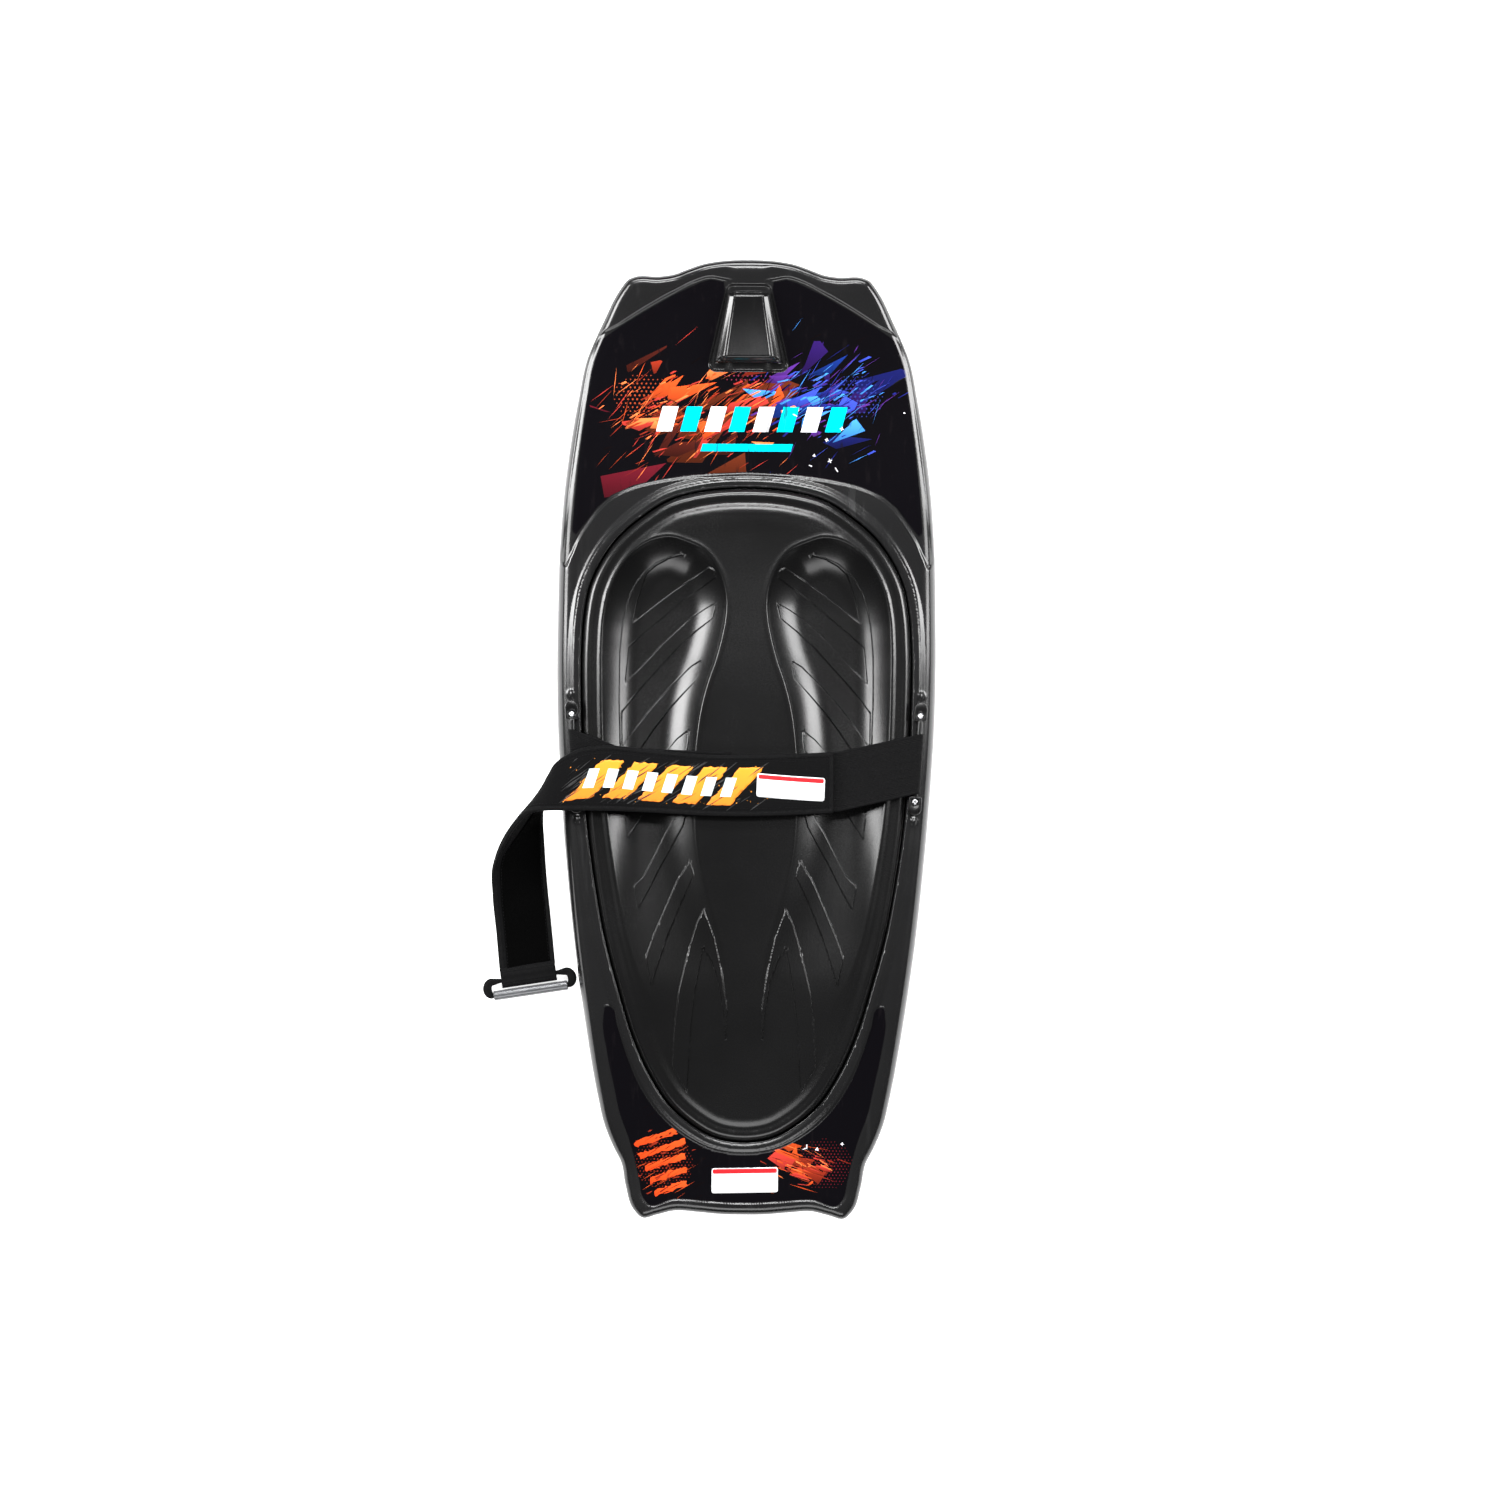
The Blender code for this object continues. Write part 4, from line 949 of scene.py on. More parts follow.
def gradient_colours(points, loop, first, last):
    """Linear colours that run from first at a loop's nose side to last at its tail side."""
    low, high = loop[:, 1].min(), loop[:, 1].max()
    t = np.clip((high - points[:, 1]) / max(high - low, 1e-6), 0, 1)[:, None]
    return np.array(linear(first)) * (1 - t) + np.array(linear(last)) * t


def painted(name, outer, holes, shapes, loose, top, bottom, material, base=None):
    """A closed sheet whose faces take the last shape's colour; without a base, bare faces go."""
    lines = [(loop, True) for loop, _, _ in shapes]
    p, f = triangles(outer, holes, lines, loose)
    middle = p[f].mean(1)
    owner = np.full(len(f), -1)
    for n, (loop, _, _) in enumerate(shapes):
        owner[inside(middle, loop)] = n
    if base is None:
        f, owner = f[owner >= 0], owner[owner >= 0]
    corner = np.zeros((len(f), 3, 3))
    corner[:] = linear(base or (0, 0, 0))
    for n, (loop, first, last) in enumerate(shapes):
        mine = owner == n
        if mine.any():
            corner[mine] = gradient_colours(p[f[mine]].reshape(-1, 2), np.asarray(loop), first,
                                            last).reshape(-1, 3, 3)
    p, g = used_only(p, f)
    verts, faces = slab(p, g, top, bottom)
    made = mesh_piece(name, verts, faces, material)
    attribute = made.data.color_attributes.new("Art", "FLOAT_COLOR", "CORNER")
    colours = np.zeros((len(made.data.loops), 4))
    colours[:, 3] = 1
    both = corner.reshape(-1, 3)
    colours[:len(both), :3] = both
    colours[len(both):2 * len(both), :3] = corner[:, ::-1].reshape(-1, 3)
    side = np.array([v.vertex_index for v in made.data.loops])
    per_vertex = np.zeros((len(verts), 3))
    per_vertex[g.reshape(-1)] = both
    per_vertex[len(p):] = per_vertex[:len(p)]
    colours[2 * len(both):, :3] = per_vertex[side[2 * len(both):]]
    attribute.data.foreach_set("color", colours.astype(np.float32).ravel())
    return made


def mm_loop(points):
    return np.array(points, float) * MM


def bar(a, b, width):
    """A thin straight bar between two points."""
    a, b = np.array(a, float), np.array(b, float)
    along = (b - a) / np.linalg.norm(b - a)
    side = np.array([-along[1], along[0]]) * width / 2
    return np.array([a + side, b + side, b - side, a - side])


def halftone(centre, spans, pitch, radius):
    """Dots on a hexagonal grid that shrink away from the centre."""
    found = []
    for x, y in hex_grid((centre[0] - spans[0], centre[1] - spans[1]),
                         (centre[0] + spans[0], centre[1] + spans[1]), pitch):
        d = ((x - centre[0]) / spans[0]) ** 2 + ((y - centre[1]) / spans[1]) ** 2
        if d < 1:
            found.append(disc(x, y, radius * (1 - 0.55 * d)))
    return found


def slivers(draw, areas):
    """Thin slanted flakes scattered over areas: (centre, spans, count, colours, slant)."""
    found = []
    for centre, spans, count, colours, slant in areas:
        for _ in range(count):
            x, y = draw.gauss(centre[0], spans[0]), draw.gauss(centre[1], spans[1])
            long, wide = draw.uniform(4, 20), draw.uniform(0.5, 2.6)
            a = slant + draw.gauss(0, 0.12)
            dx, dy = math.cos(a) * long, math.sin(a) * long
            nx, ny = -math.sin(a) * wide, math.cos(a) * wide
            skew = draw.uniform(0.1, 0.5)
            loop = [(x, y), (x + dx, y + dy), (x + dx * (1 - skew) + nx, y + dy * (1 - skew) + ny),
                    (x - dx * 0.1 + nx, y - dy * 0.1 + ny)]
            colour = draw.choice(colours)
            found.append((mm_loop(loop), colour, tuple(int(c * 0.7) for c in colour)))
    return found


def streaks(draw, areas):
    """Long thin tapering lines over areas: (centre, spans, count, colours, (slant, its spread))."""
    found = []
    for centre, spans, count, colours, (slant, loose) in areas:
        for _ in range(count):
            x, y = draw.gauss(centre[0], spans[0]), draw.gauss(centre[1], spans[1])
            long, wide = draw.uniform(12, 42), draw.uniform(0.3, 1.1)
            a = slant + draw.gauss(0, loose)
            dx, dy = math.cos(a) * long / 2, math.sin(a) * long / 2
            nx, ny = -math.sin(a) * wide / 2, math.cos(a) * wide / 2
            colour = draw.choice(colours)
            found.append((mm_loop([(x - dx, y - dy), (x + nx, y + ny), (x + dx, y + dy), (x - nx, y - ny)]),
                          colour,
                          tuple(int(c * 0.75) for c in colour)))
    return found


EMBER, RUST, SOOT = (226, 84, 36), (150, 46, 28), (14, 9, 10)
INDIGO, SKY, WINE = (34, 40, 130), (70, 150, 240), (96, 22, 34)
TEAL, WHITE = (0, 196, 214), (246, 248, 250)
WARM, COOL = [EMBER, RUST, (255, 130, 70), (200, 60, 50)], [INDIGO, SKY, (60, 80, 200), (90, 46, 140)]
WARM_DIM, COOL_DIM = [(96, 40, 22), (70, 26, 20), WINE], [(22, 26, 84), (44, 24, 90), (24, 50, 130)]


# The films: height above and depth below the deck, grid step, least gap to the border, and bare colour.
FILM_LIFT, FILM_ROOT, FILM_GRID, FILM_GAP = 0.0005, 0.0008, 0.0046, 0.0018
FILM_BLACK = (9, 8, 11)
BAY_HALF, BAY_FRONT = 0.0318, 0.5995


def side_colour(draw, x, middle, left, right):
    """One of the left colours on the left of a soft middle line, one of the right colours beyond it."""
    return draw.choice(left if x < draw.gauss(middle, 24) else right)


def facets(draw, count, centre, spans, rise, size, slant, middle, left, right):
    """Convex flakes of four or five corners along a rising band of a film; lengths in millimetres."""
    found = []
    for _ in range(count):
        x = centre[0] + draw.uniform(-spans[0], spans[0])
        y = centre[1] + rise * (x - centre[0]) + draw.gauss(0, spans[1])
        long = size * draw.uniform(0.45, 1.2)
        wide, lean = long * draw.uniform(0.22, 0.55), slant + draw.gauss(0, 0.3)
        turns = sorted(draw.uniform(0, 2 * math.pi) for _ in range(draw.randint(4, 5)))
        loop = [(x + long * math.cos(a) * math.cos(lean) - wide * math.sin(a) * math.sin(lean),
                 y + long * math.cos(a) * math.sin(lean) + wide * math.sin(a) * math.cos(lean))
                for a in turns]
        colour = side_colour(draw, x, middle, left, right)
        found.append((mm_loop(loop), colour, tuple(int(c * 0.62) for c in colour)))
    return found


def small_marks(draw, count, centre, spans):
    """Plain crosses, bars and triangles scattered over an area."""
    found = []
    for n in range(count):
        x, y = (centre[k] + draw.uniform(-spans[k], spans[k]) for k in (0, 1))
        s, a = draw.uniform(1.6, 3.2), draw.uniform(0, math.pi)
        dx, dy = s * math.cos(a), s * math.sin(a)
        if n % 3 < 2:
            found.append(bar((x - dx, y - dy), (x + dx, y + dy), 1.1))
        if n % 3 == 1:
            found.append(bar((x + dy, y - dx), (x - dy, y + dx), 1.1))
        if n % 3 == 2:
            found.append(np.array([(x + s * math.cos(a + t), y + s * math.sin(a + t))
                                   for t in (0, 2.1, 4.2)]))
    return [(loop * MM, WHITE, (225, 225, 235)) for loop in found]


def nose_shapes():
    draw = random.Random(11)
    across = [-150, -100, -50, 0, 50, 100, 150]
    shapes = facets(draw, 26, (0, 440), (170, 34), 0.10, 52, 0.5, 30, WARM_DIM, COOL_DIM)
    for x, colour in ((-140, (150, 60, 32)), (0, (130, 44, 70)), (140, (40, 50, 120))):
        shapes += [(loop * MM, colour, colour)
                   for loop in halftone((x, 500 - 0.3 * abs(x)), (40, 30), 6.0, 1.5)]
    shapes += facets(draw, 34, (0, 446), (140, 26), 0.10, 30, 0.5, 30, WARM, COOL)
    for x in across:
        colours = (WARM if x < 30 else COOL) + [SOOT, SOOT]
        shapes += slivers(draw, [((x, 446 + 0.1 * x), (24, 26), 34, colours, 0.5)])
        shapes += streaks(draw, [((x, 446 + 0.1 * x), (26, 36), 42, colours, (0.8, 0.25))])
    # A plain row of slanted bars and one stripe, in place of a name and a mark.
    for n in range(8):
        x = -122 + 32 * n
        colour = TEAL if n % 2 else WHITE
        shapes.append((mm_loop([(x, 412), (x + 9, 445), (x + 30, 445), (x + 21, 412)]), colour, colour))
    shapes.append((mm_loop([(-60, 396), (60, 396), (57, 386), (-63, 386)]), TEAL, (0, 180, 205)))
    return shapes + small_marks(draw, 9, (130, 400), (80, 60))


def tail_shapes():
    draw = random.Random(23)
    shapes = []
    for side, colour in ((-1, (150, 44, 22)), (1, (110, 24, 34))):
        shapes += [(loop * MM, colour, colour) for loop in halftone((side * 106, -560), (40, 34), 4.6, 1.0)]
    for n in range(5):
        x, y, long = -112 + 4 * n, -524 - 17 * n, 66 - 6 * n
        stroke = bar((x - long / 2, y - long / 6), (x + long / 2, y + long / 6), 8) * MM
        shapes.append((ragged(stroke, draw, 0.0011), EMBER, (206, 62, 24)))
    shapes += facets(draw, 16, (76, -562), (26, 10), -0.35, 22, -0.35, 200, WARM, WARM)
    shapes += slivers(draw, [((-106, -560), (26, 24), 44, [SOOT, SOOT, RUST], 0.5),
                             ((76, -562), (20, 12), 30, WARM + [SOOT], -0.35)])
    shapes += streaks(draw, [((-106, -560), (26, 26), 50, [SOOT, SOOT, EMBER], (0.5, 0.08)),
                             ((76, -565), (24, 14), 40, WARM + [SOOT], (-0.35, 0.12))])
    return shapes + small_marks(draw, 4, (110, -535), (34, 14))


def ragged(loop, draw, roughness):
    """The loop with the broken edge of a dry brush."""
    fine = resampled(np.vstack([loop, loop[:1]]), 46)[:-1]
    return fine + np.array([(draw.gauss(0, roughness), draw.gauss(0, roughness * 0.7)) for _ in fine])


def on_deck(lift):
    """Lays flat points at a height off the hull's deck."""
    def laid(q):
        return np.column_stack([q, hull_relief(q) + lift])
    return laid


def lay_film(name, outline, border, shapes, loose, node):
    """One printed film on the deck: its grid keeps clear of the border points."""
    loose = loose[len(border):]
    made = painted(name, outline, [], shapes, loose, on_deck(FILM_LIFT), on_deck(-FILM_ROOT), FILM,
                   base=FILM_BLACK)
    follow_slope(made, on_deck_height)
    placed(made, "board", [node])


def on_deck_height(q):
    return hull_relief(q) + FILM_LIFT


def build_films():
    horn_edge = shifted(HORN_WELL, 0.0018)
    border = np.vstack([nose_film, horn_edge])
    loose = spread([nose_film, horn_edge, hex_grid(nose_film.min(0), nose_film.max(0), FILM_GRID)], FILM_GAP)
    lay_film("nose_film", film_outline(nose_film, horn_edge), border, nose_shapes(), loose, "nose_graphic")
    edge = shifted(tail_film, -0.0009)
    loose = spread([edge, hex_grid(edge.min(0), edge.max(0), FILM_GRID)], FILM_GAP)
    lay_film("tail_film", edge, edge, tail_shapes(), loose, "tail_graphic")
    label = rounded_quad([(-42, -566), (46, -564), (46, -597), (-42, -599)], 3.0)
    header = rounded_quad([(-40.5, -567.2), (44.6, -565.3), (44.6, -571.5), (-40.5, -573.4)], 1.0)
    inner = hex_grid(label.min(0), label.max(0), 0.0045)
    made = painted("tail_label_sheet", label, [], [(header, (196, 26, 34), (186, 22, 30))], inner,
                   on_deck(0.0010), on_deck(0.0002), CREAM_PRINT, base=(244, 244, 246))
    placed(made, "board", ["tail_label"])


def rounded_quad(corners, radius):
    """Four corners in millimetres, clockwise, as a closed outline with rounded corners."""
    points = []
    for i in range(4):
        before, here, after = (np.array(corners[k % 4], float) for k in (i - 1, i, i + 1))
        a = here + (before - here) / np.linalg.norm(before - here) * radius
        b = here + (after - here) / np.linalg.norm(after - here) * radius
        for t in np.linspace(0, 1, 6):
            points.append((1 - t) ** 2 * a + 2 * t * (1 - t) * here + t * t * b)
    return resampled(np.array(points + points[:1]) * MM, 90)[:-1]


def film_outline(outer, horn):
    """The film's outline with the horn's bay cut into its nose side."""
    start = next(i for i, q in enumerate(outer) if q[0] > BAY_HALF)
    ordered = [outer[(start + k) % len(outer)] for k in range(len(outer))]
    ordered = [q for q in ordered if not (abs(q[0]) <= BAY_HALF and q[1] > 0.45)]
    bay = [q for q in horn if q[1] < 0.598]
    bay = sorted(bay, key=lambda q: math.atan2(q[0], 0.55 - q[1]))
    return np.array(ordered + [np.array((-BAY_HALF, BAY_FRONT))] + bay + [np.array((BAY_HALF, BAY_FRONT))])


build_films()


# ---------------------------------------------------------------- anchors, screws and what lies inside

# The strap bar's height, and how far each screw sits from an anchor's middle.
BAR_Z, SCREW_REACH = 0.0691, 0.057


def anchor_axes(side):
    along = np.array([side * LEAN, 1, 0]) / math.hypot(LEAN, 1)
    across = np.array([along[1], -along[0], 0])
    return along, across


def build_anchor(side, word):
    along, across = anchor_axes(side)
    middle = np.array([side * ANCHOR[0], ANCHOR[1], 0])
    parts = [tube([middle + along * t + (0, 0, BAR_Z) for t in np.linspace(-0.053, 0.053, 24)], 0.0035, 24)]
    sides = 64
    for end in (-1, 1):
        def spot(x, y, z):
            return middle + across * x + along * end * y + (0, 0, z)
        outline = []
        half, inner, outer = 0.0085, 0.0500, 0.0750
        for k in range(17):
            a = math.pi * k / 16
            outline.append((half * math.cos(a), outer - half + half * math.sin(a)))
        outline += [(-half, inner + .002), (-half + .0006, inner + .0006), (-half + .002, inner),
                    (half - .002, inner), (half - .0006, inner + .0006), (half, inner + .002)]
        outline = resampled(np.array(outline + outline[:1]), sides + 1)[:-1]
        screw = np.array([0, SCREW_REACH])
        angle = np.arctan2(outline[:, 1] - screw[1], outline[:, 0] - screw[0])
        mid = np.array([0, 0.0625])
        rings = []
        for z, shrink in ((.0590, 1.0), (.0712, 1.0), (.0722, .985), (.0728, .955), (.0730, .91)):
            q = mid + (outline - mid) * shrink
            rings.append([spot(x, y, z) for x, y in q])
        for radius, z in ((.0054, .0730), (.0051, .0728), (.0050, .0724), (.0050, .0699), (.0047, .0698),
                          (.0026, .0698),
                          (.0026, .0590)):
            rings.append([spot(screw[0] + radius * math.cos(a), screw[1] + radius * math.sin(a), z)
                          for a in angle])
        rings.append(rings[0])
        verts = np.array([v for ring in rings for v in ring])
        parts.append((verts, ring_faces(sides, len(rings))))
        # A raised collar round the counterbore.
        collar = [spot(screw[0] + .0060 * math.cos(a), screw[1] + .0060 * math.sin(a), .0729)
                  for a in np.linspace(0, 2 * math.pi, 40, endpoint=False)]
        parts.append(tube(collar, 0.00045, 8, closed=True))
    verts, faces = merged(parts)
    made = mesh_piece(f"anchor_body_{word}", verts, faces, NYLON)
    fix_normals(made, WELD)
    placed(made, "board", [f"anchor_{word}"])


def round_head(name, side, end):
    """A pan head screw with a cross recess, its shank below."""
    along, _ = anchor_axes(side)
    centre = np.array([side * ANCHOR[0], ANCHOR[1], 0.0701]) + along * end * SCREW_REACH
    sides = 96
    turn = 0.4 + 0.3 * end
    a = np.linspace(0, 2 * math.pi, sides, endpoint=False)
    cross = np.minimum(np.abs(((a - turn + math.pi / 4) % (math.pi / 2)) - math.pi / 4), 1)
    rings = []
    profile = [(.0006, .0027), (.0012, .0027), (.0018, .0026), (.0024, .0025), (.0030, .0022), (.0036, .0017),
               (.0041, .0009), (.0042, .0003), (.0042, 0), (.0022, 0), (.0022, -.0008)]
    shank = [(.0022 - .00028 * (k % 2), -.0010 - .0006 * k) for k in range(32)]
    for n, (r, z) in enumerate(profile + shank + [(.0012, -.0207), (.0002, -.0210)]):
        drop = np.zeros(sides)
        if n < 5:
            slot = 1 - ss((r * np.sin(cross) - .00042) / .00012)
            drop = 0.0011 * slot * (1 - ss((r - .0022) / .0005))
        rings.append(np.column_stack([centre[0] + r * np.cos(a), centre[1] + r * np.sin(a), centre[2] + z
                                      - drop]))
    rings.insert(0, np.tile(centre + (0, 0, .0016), (sides, 1))
                 + np.column_stack([.00005 * np.cos(a), .00005 * np.sin(a), 0 * a]))
    verts = np.vstack(rings)
    made = mesh_piece(f"{name}_fine", verts, capped_rings(sides, len(rings)), STEEL)
    fix_normals(made)
    placed(made, "board", [name])


def build_inside():
    """The foam core follows the sunk parts of the deck; plug and threaded inserts keep their CAD shapes."""
    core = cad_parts["foam_core"]
    co = np.array([v.co for v in core.data.vertices])
    y = co[:, 1]
    level = (co[:, 2] - rocker(y)) / thickness(y)
    co[:, 2] -= 0.0065 * ss((level - 0.45) / 0.35)
    faces = [tuple(poly.vertices) for poly in core.data.polygons]
    made = mesh_piece("foam_core_block", co, faces, FOAM, smooth=False)
    placed(made, "board", ["foam_core"])
    for name, look in [("fill_plug", NYLON)] + [(f"insert_{s}_{e}", BRASS) for s in ("left", "right")
                                                for e in ("front", "rear")]:
        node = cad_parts[name]
        node.data.materials.clear()
        node.data.materials.append(look)
        bevel = node.modifiers.new("soft", "BEVEL")
        bevel.width = 0.0003
        bevel.segments = 2
        bevel.limit_method = "ANGLE"


for anchor_side, anchor_word in ((-1, "left"), (1, "right")):
    build_anchor(anchor_side, anchor_word)
    for screw_end, screw_place in ((1, "front"), (-1, "rear")):
        round_head(f"screw_{anchor_word}_{screw_place}", anchor_side, screw_end)
build_inside()


# ---------------------------------------------------------------- thigh strap

# Nose-side and tail-side edges along the strap in millimetres, right end first, round the fold to its end.
STRAP_ROWS = [
    (115.7, -12.6, 78.9, 115.7, -92.4, 78.9), (60, -15.5, 80.2, 60, -95.5, 80.2),
              (14, -17, 81.5, 14, -97, 81.5),
    (-61, -16.5, 81.5, -61, -96.5, 81.5), (-127, -11, 81.5, -127, -93, 81.5),
              (-193, -6, 81.5, -193, -91, 81.5),
    (-229, -14, 82, -241, -91, 82), (-250, -28, 78, -272, -92, 81), (-262, -54, 54, -294, -98, 78),
    (-270, -78, 32, -310, -115, 70), (-273, -96, 20, -320, -130, 62), (-273, -107, 15, -327, -143, 54),
    (-271, -134, 11, -336, -168, 42), (-267, -185, 8, -337, -206, 26), (-260, -249, 7, -332, -262, 14),
    (-255, -298, 8, -328, -309, 9),
]
# Half the webbing's width, and how far the grip lies from the sleeve's middle.
WEB_HALF, GRIP_DROP = 0.040, 0.0185
strap_rows = open_curve(np.array(STRAP_ROWS) * MM, 420)
edge_a, edge_b = strap_rows[:, :3], strap_rows[:, 3:]
strap_mid = (edge_a + edge_b) / 2
strap_run = run_of(strap_mid)


def unit(v):
    return v / np.maximum(np.linalg.norm(v, axis=-1, keepdims=True), 1e-12)


strap_normal = unit(np.cross(edge_a - edge_b, np.gradient(strap_mid, axis=0)))
STRAP_LENGTH = strap_run[-1]


def along_strap(run, values):
    return np.column_stack([np.interp(run, strap_run, values[:, k]) for k in range(3)])


def half_depth(run):
    return 0.0030 - 0.0010 * ss((run - 0.44) / 0.10)


def padded(share):
    """How full the padding is across the strap, 1 in the middle."""
    return np.sqrt(np.maximum(1 - np.abs(share) ** 12, 0))


def ripple(run, share):
    soft = ss((run - 0.27) / 0.1)
    wave = np.sin(run * 95 + share * 1.6) * 0.00035 + np.sin(run * 41 - share * 2.1 + 1.0) * 0.00045
    return wave * (0.25 + 0.9 * soft) * (1 - np.abs(share) ** 3)


def strap_place(run, share, lift, top=True):
    """A point on the strap: distance from its right end, -1 to 1 across, and height off a face."""
    run, share = np.asarray(run, float), np.asarray(share, float)
    a, b = along_strap(run, edge_a), along_strap(run, edge_b)
    n = unit(along_strap(run, strap_normal))
    height = half_depth(run) * padded(share)
    if top:
        height = height + 0.0007 * (1 - share**2) + ripple(run, share) + lift
    else:
        height = -height + ripple(run, share) - lift
    return (a + b) / 2 + (a - b) / 2 * share[:, None] + n * np.asarray(height)[:, None]


def strap_half(run):
    return np.linalg.norm(along_strap(run, edge_a) - along_strap(run, edge_b), axis=1) / 2


def lofted(name, rings, material, uvs):
    """A skin through rings, capped at both ends, with a texture layout in metres."""
    rings = np.asarray(rings)
    count, size = rings.shape[:2]
    verts = rings.reshape(-1, 3)
    made = mesh_piece(name, verts, capped_rings(size, count), material)
    lay_out(made, np.asarray(uvs).reshape(-1, 2))
    fix_normals(made)
    return made


def lay_out(made, per_vertex):
    layer = made.data.uv_layers.new(name="layout")
    index = np.zeros(len(made.data.loops), np.int32)
    made.data.loops.foreach_get("vertex_index", index)
    layer.data.foreach_set("uv", per_vertex[index].astype(np.float32).ravel())


def bent(obj, replaces=()):
    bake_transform(obj)
    if replaces:
        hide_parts(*replaces)


def build_cover():
    shares = np.sin(np.linspace(math.pi / 2, -math.pi / 2, 31))
    shares = np.sign(shares) * np.abs(shares) ** 0.85
    rings, uvs = [], []
    for run in np.linspace(0, STRAP_LENGTH, 330):
        r = np.full(31, run)
        end = 0.75 + 0.25 * float(ss(run / 0.002))
        ring = np.vstack([strap_place(r, shares, 0.0),
                          strap_place(r[1:-1], shares[::-1][1:-1], 0.0, top=False)])
        middle = ring.mean(0)
        rings.append(middle + (ring - middle) * (1, 1, end))
        half = strap_half(r[:1])[0]
        across = np.concatenate([shares, shares[::-1][1:-1]]) * half
        uvs.append(np.column_stack([np.full(60, run), across]))
    made = lofted("thigh_strap_cover", rings, KNIT, uvs)
    bent(made, ["strap_pad", "strap_tail"])


def flat_section(wide, high, count=20):
    a = np.linspace(0, 2 * math.pi, count, endpoint=False)
    c, s = np.cos(a), np.sin(a)
    return np.column_stack([np.sign(c) * np.abs(c) ** 0.45 * wide, np.sign(s) * np.abs(s) ** 0.55 * high])


def build_binding():
    parts, uvs = [], []
    runs = np.linspace(-0.0008, STRAP_LENGTH, 330)
    for side in (-1, 1):
        held = np.clip(runs, 0, None)
        a, b = along_strap(held, edge_a), along_strap(held, edge_b)
        n = unit(along_strap(held, strap_normal))
        across = unit(a - b) * side
        half = strap_half(held)
        wide = 0.0036
        rings = []
        for k, run in enumerate(runs):
            centre = (a[k] + b[k]) / 2 + across[k] * (half[k] - 0.0029)
            high = float(half_depth(held[k])) + 0.00042 + 0.00008 * math.sin(run * 700)
            section = flat_section(wide, high)
            rings.append(centre + section[:, :1] * across[k] + section[:, 1:] * n[k])
        size = 20
        verts = np.array(rings).reshape(-1, 3)
        parts.append((verts, capped_rings(size, len(rings))))
        flat = np.column_stack([np.repeat(runs, size), np.tile(np.linspace(0, 0.02, size), len(runs))])
        uvs.append(flat)
    across = []
    for share in np.linspace(-0.985, 0.985, 60):
        c = strap_place(np.array([0.0026]), np.array([share]), 0.0)[0] - (0, 0, 0.0031)
        section = flat_section(0.0034, 0.0035)
        across.append([c + (x, 0, z) for x, z in section])
    verts = np.array(across).reshape(-1, 3)
    parts.append((verts, capped_rings(20, 60)))
    uvs.append(np.column_stack([np.repeat(np.linspace(0, 0.08, 60), 20),
                                np.tile(np.linspace(0, 0.02, 20), 60)]))
    verts, faces = merged(parts)
    made = mesh_piece("strap_edge_binding", verts, faces, BINDING)
    lay_out(made, np.vstack(uvs))
    fix_normals(made)
    bent(made)


def stitch_line(points, normals, pitch=0.0043, long=0.0027, thick=0.00055):
    """Short stitches laid end to end along a line of points."""
    run = run_of(points)
    parts = []
    for at in np.arange(pitch / 2, run[-1], pitch):
        here = np.array([np.interp(at, run, points[:, k]) for k in range(3)])
        ahead = np.array([np.interp(at + 0.001, run, points[:, k]) for k in range(3)])
        if np.linalg.norm(ahead - here) < 1e-6:
            continue
        n = np.array([np.interp(at, run, normals[:, k]) for k in range(3)])
        along = (ahead - here) / np.linalg.norm(ahead - here)
        side = np.cross(n, along)
        parts.append(box_mesh(here, along, side / np.linalg.norm(side), n, (long, thick, thick), thick * 0.3))
    return parts


def sewn(name, parts):
    """Stitches as one piece of thread."""
    verts, faces = merged(parts)
    made = mesh_piece(name, verts, faces, THREAD)
    lay_out(made, verts[:, :2])
    return made


def build_stitches():
    parts = []
    runs = np.linspace(0.004, STRAP_LENGTH - 0.006, 400)
    n = unit(along_strap(runs, strap_normal))
    for side in (-1, 1):
        half = strap_half(runs)
        for inset, lift in ((0.0050, 0.00055), (0.0094, 0.00012)):
            share = side * (1 - inset / half)
            if inset > 0.006:
                parts += stitch_line(strap_place(runs, share, lift), n)
            else:
                a, b = along_strap(runs, edge_a), along_strap(runs, edge_b)
                p = (a + b) / 2 + (a - b) / 2 * share[:, None] + n * (half_depth(runs) + 0.00040)[:, None]
                parts += stitch_line(p, n)
    shares = np.linspace(-0.86, 0.86, 40)
    for at in (0.0045, 0.0080):
        p = strap_place(np.full(40, at), shares, 0.0005 if at < .006 else 0.0001)
        parts += stitch_line(p, np.tile([0, 0, 1.0], (40, 1)))
    made = sewn("strap_stitching", parts)
    bent(made)


def print_place(lift):
    """Flat print coordinates (X, distance from the strap's middle line) laid on the strap's face."""
    def laid(q):
        run = 0.1157 - q[:, 0]
        return strap_place(run, q[:, 1] / strap_half(run), lift)
    return laid


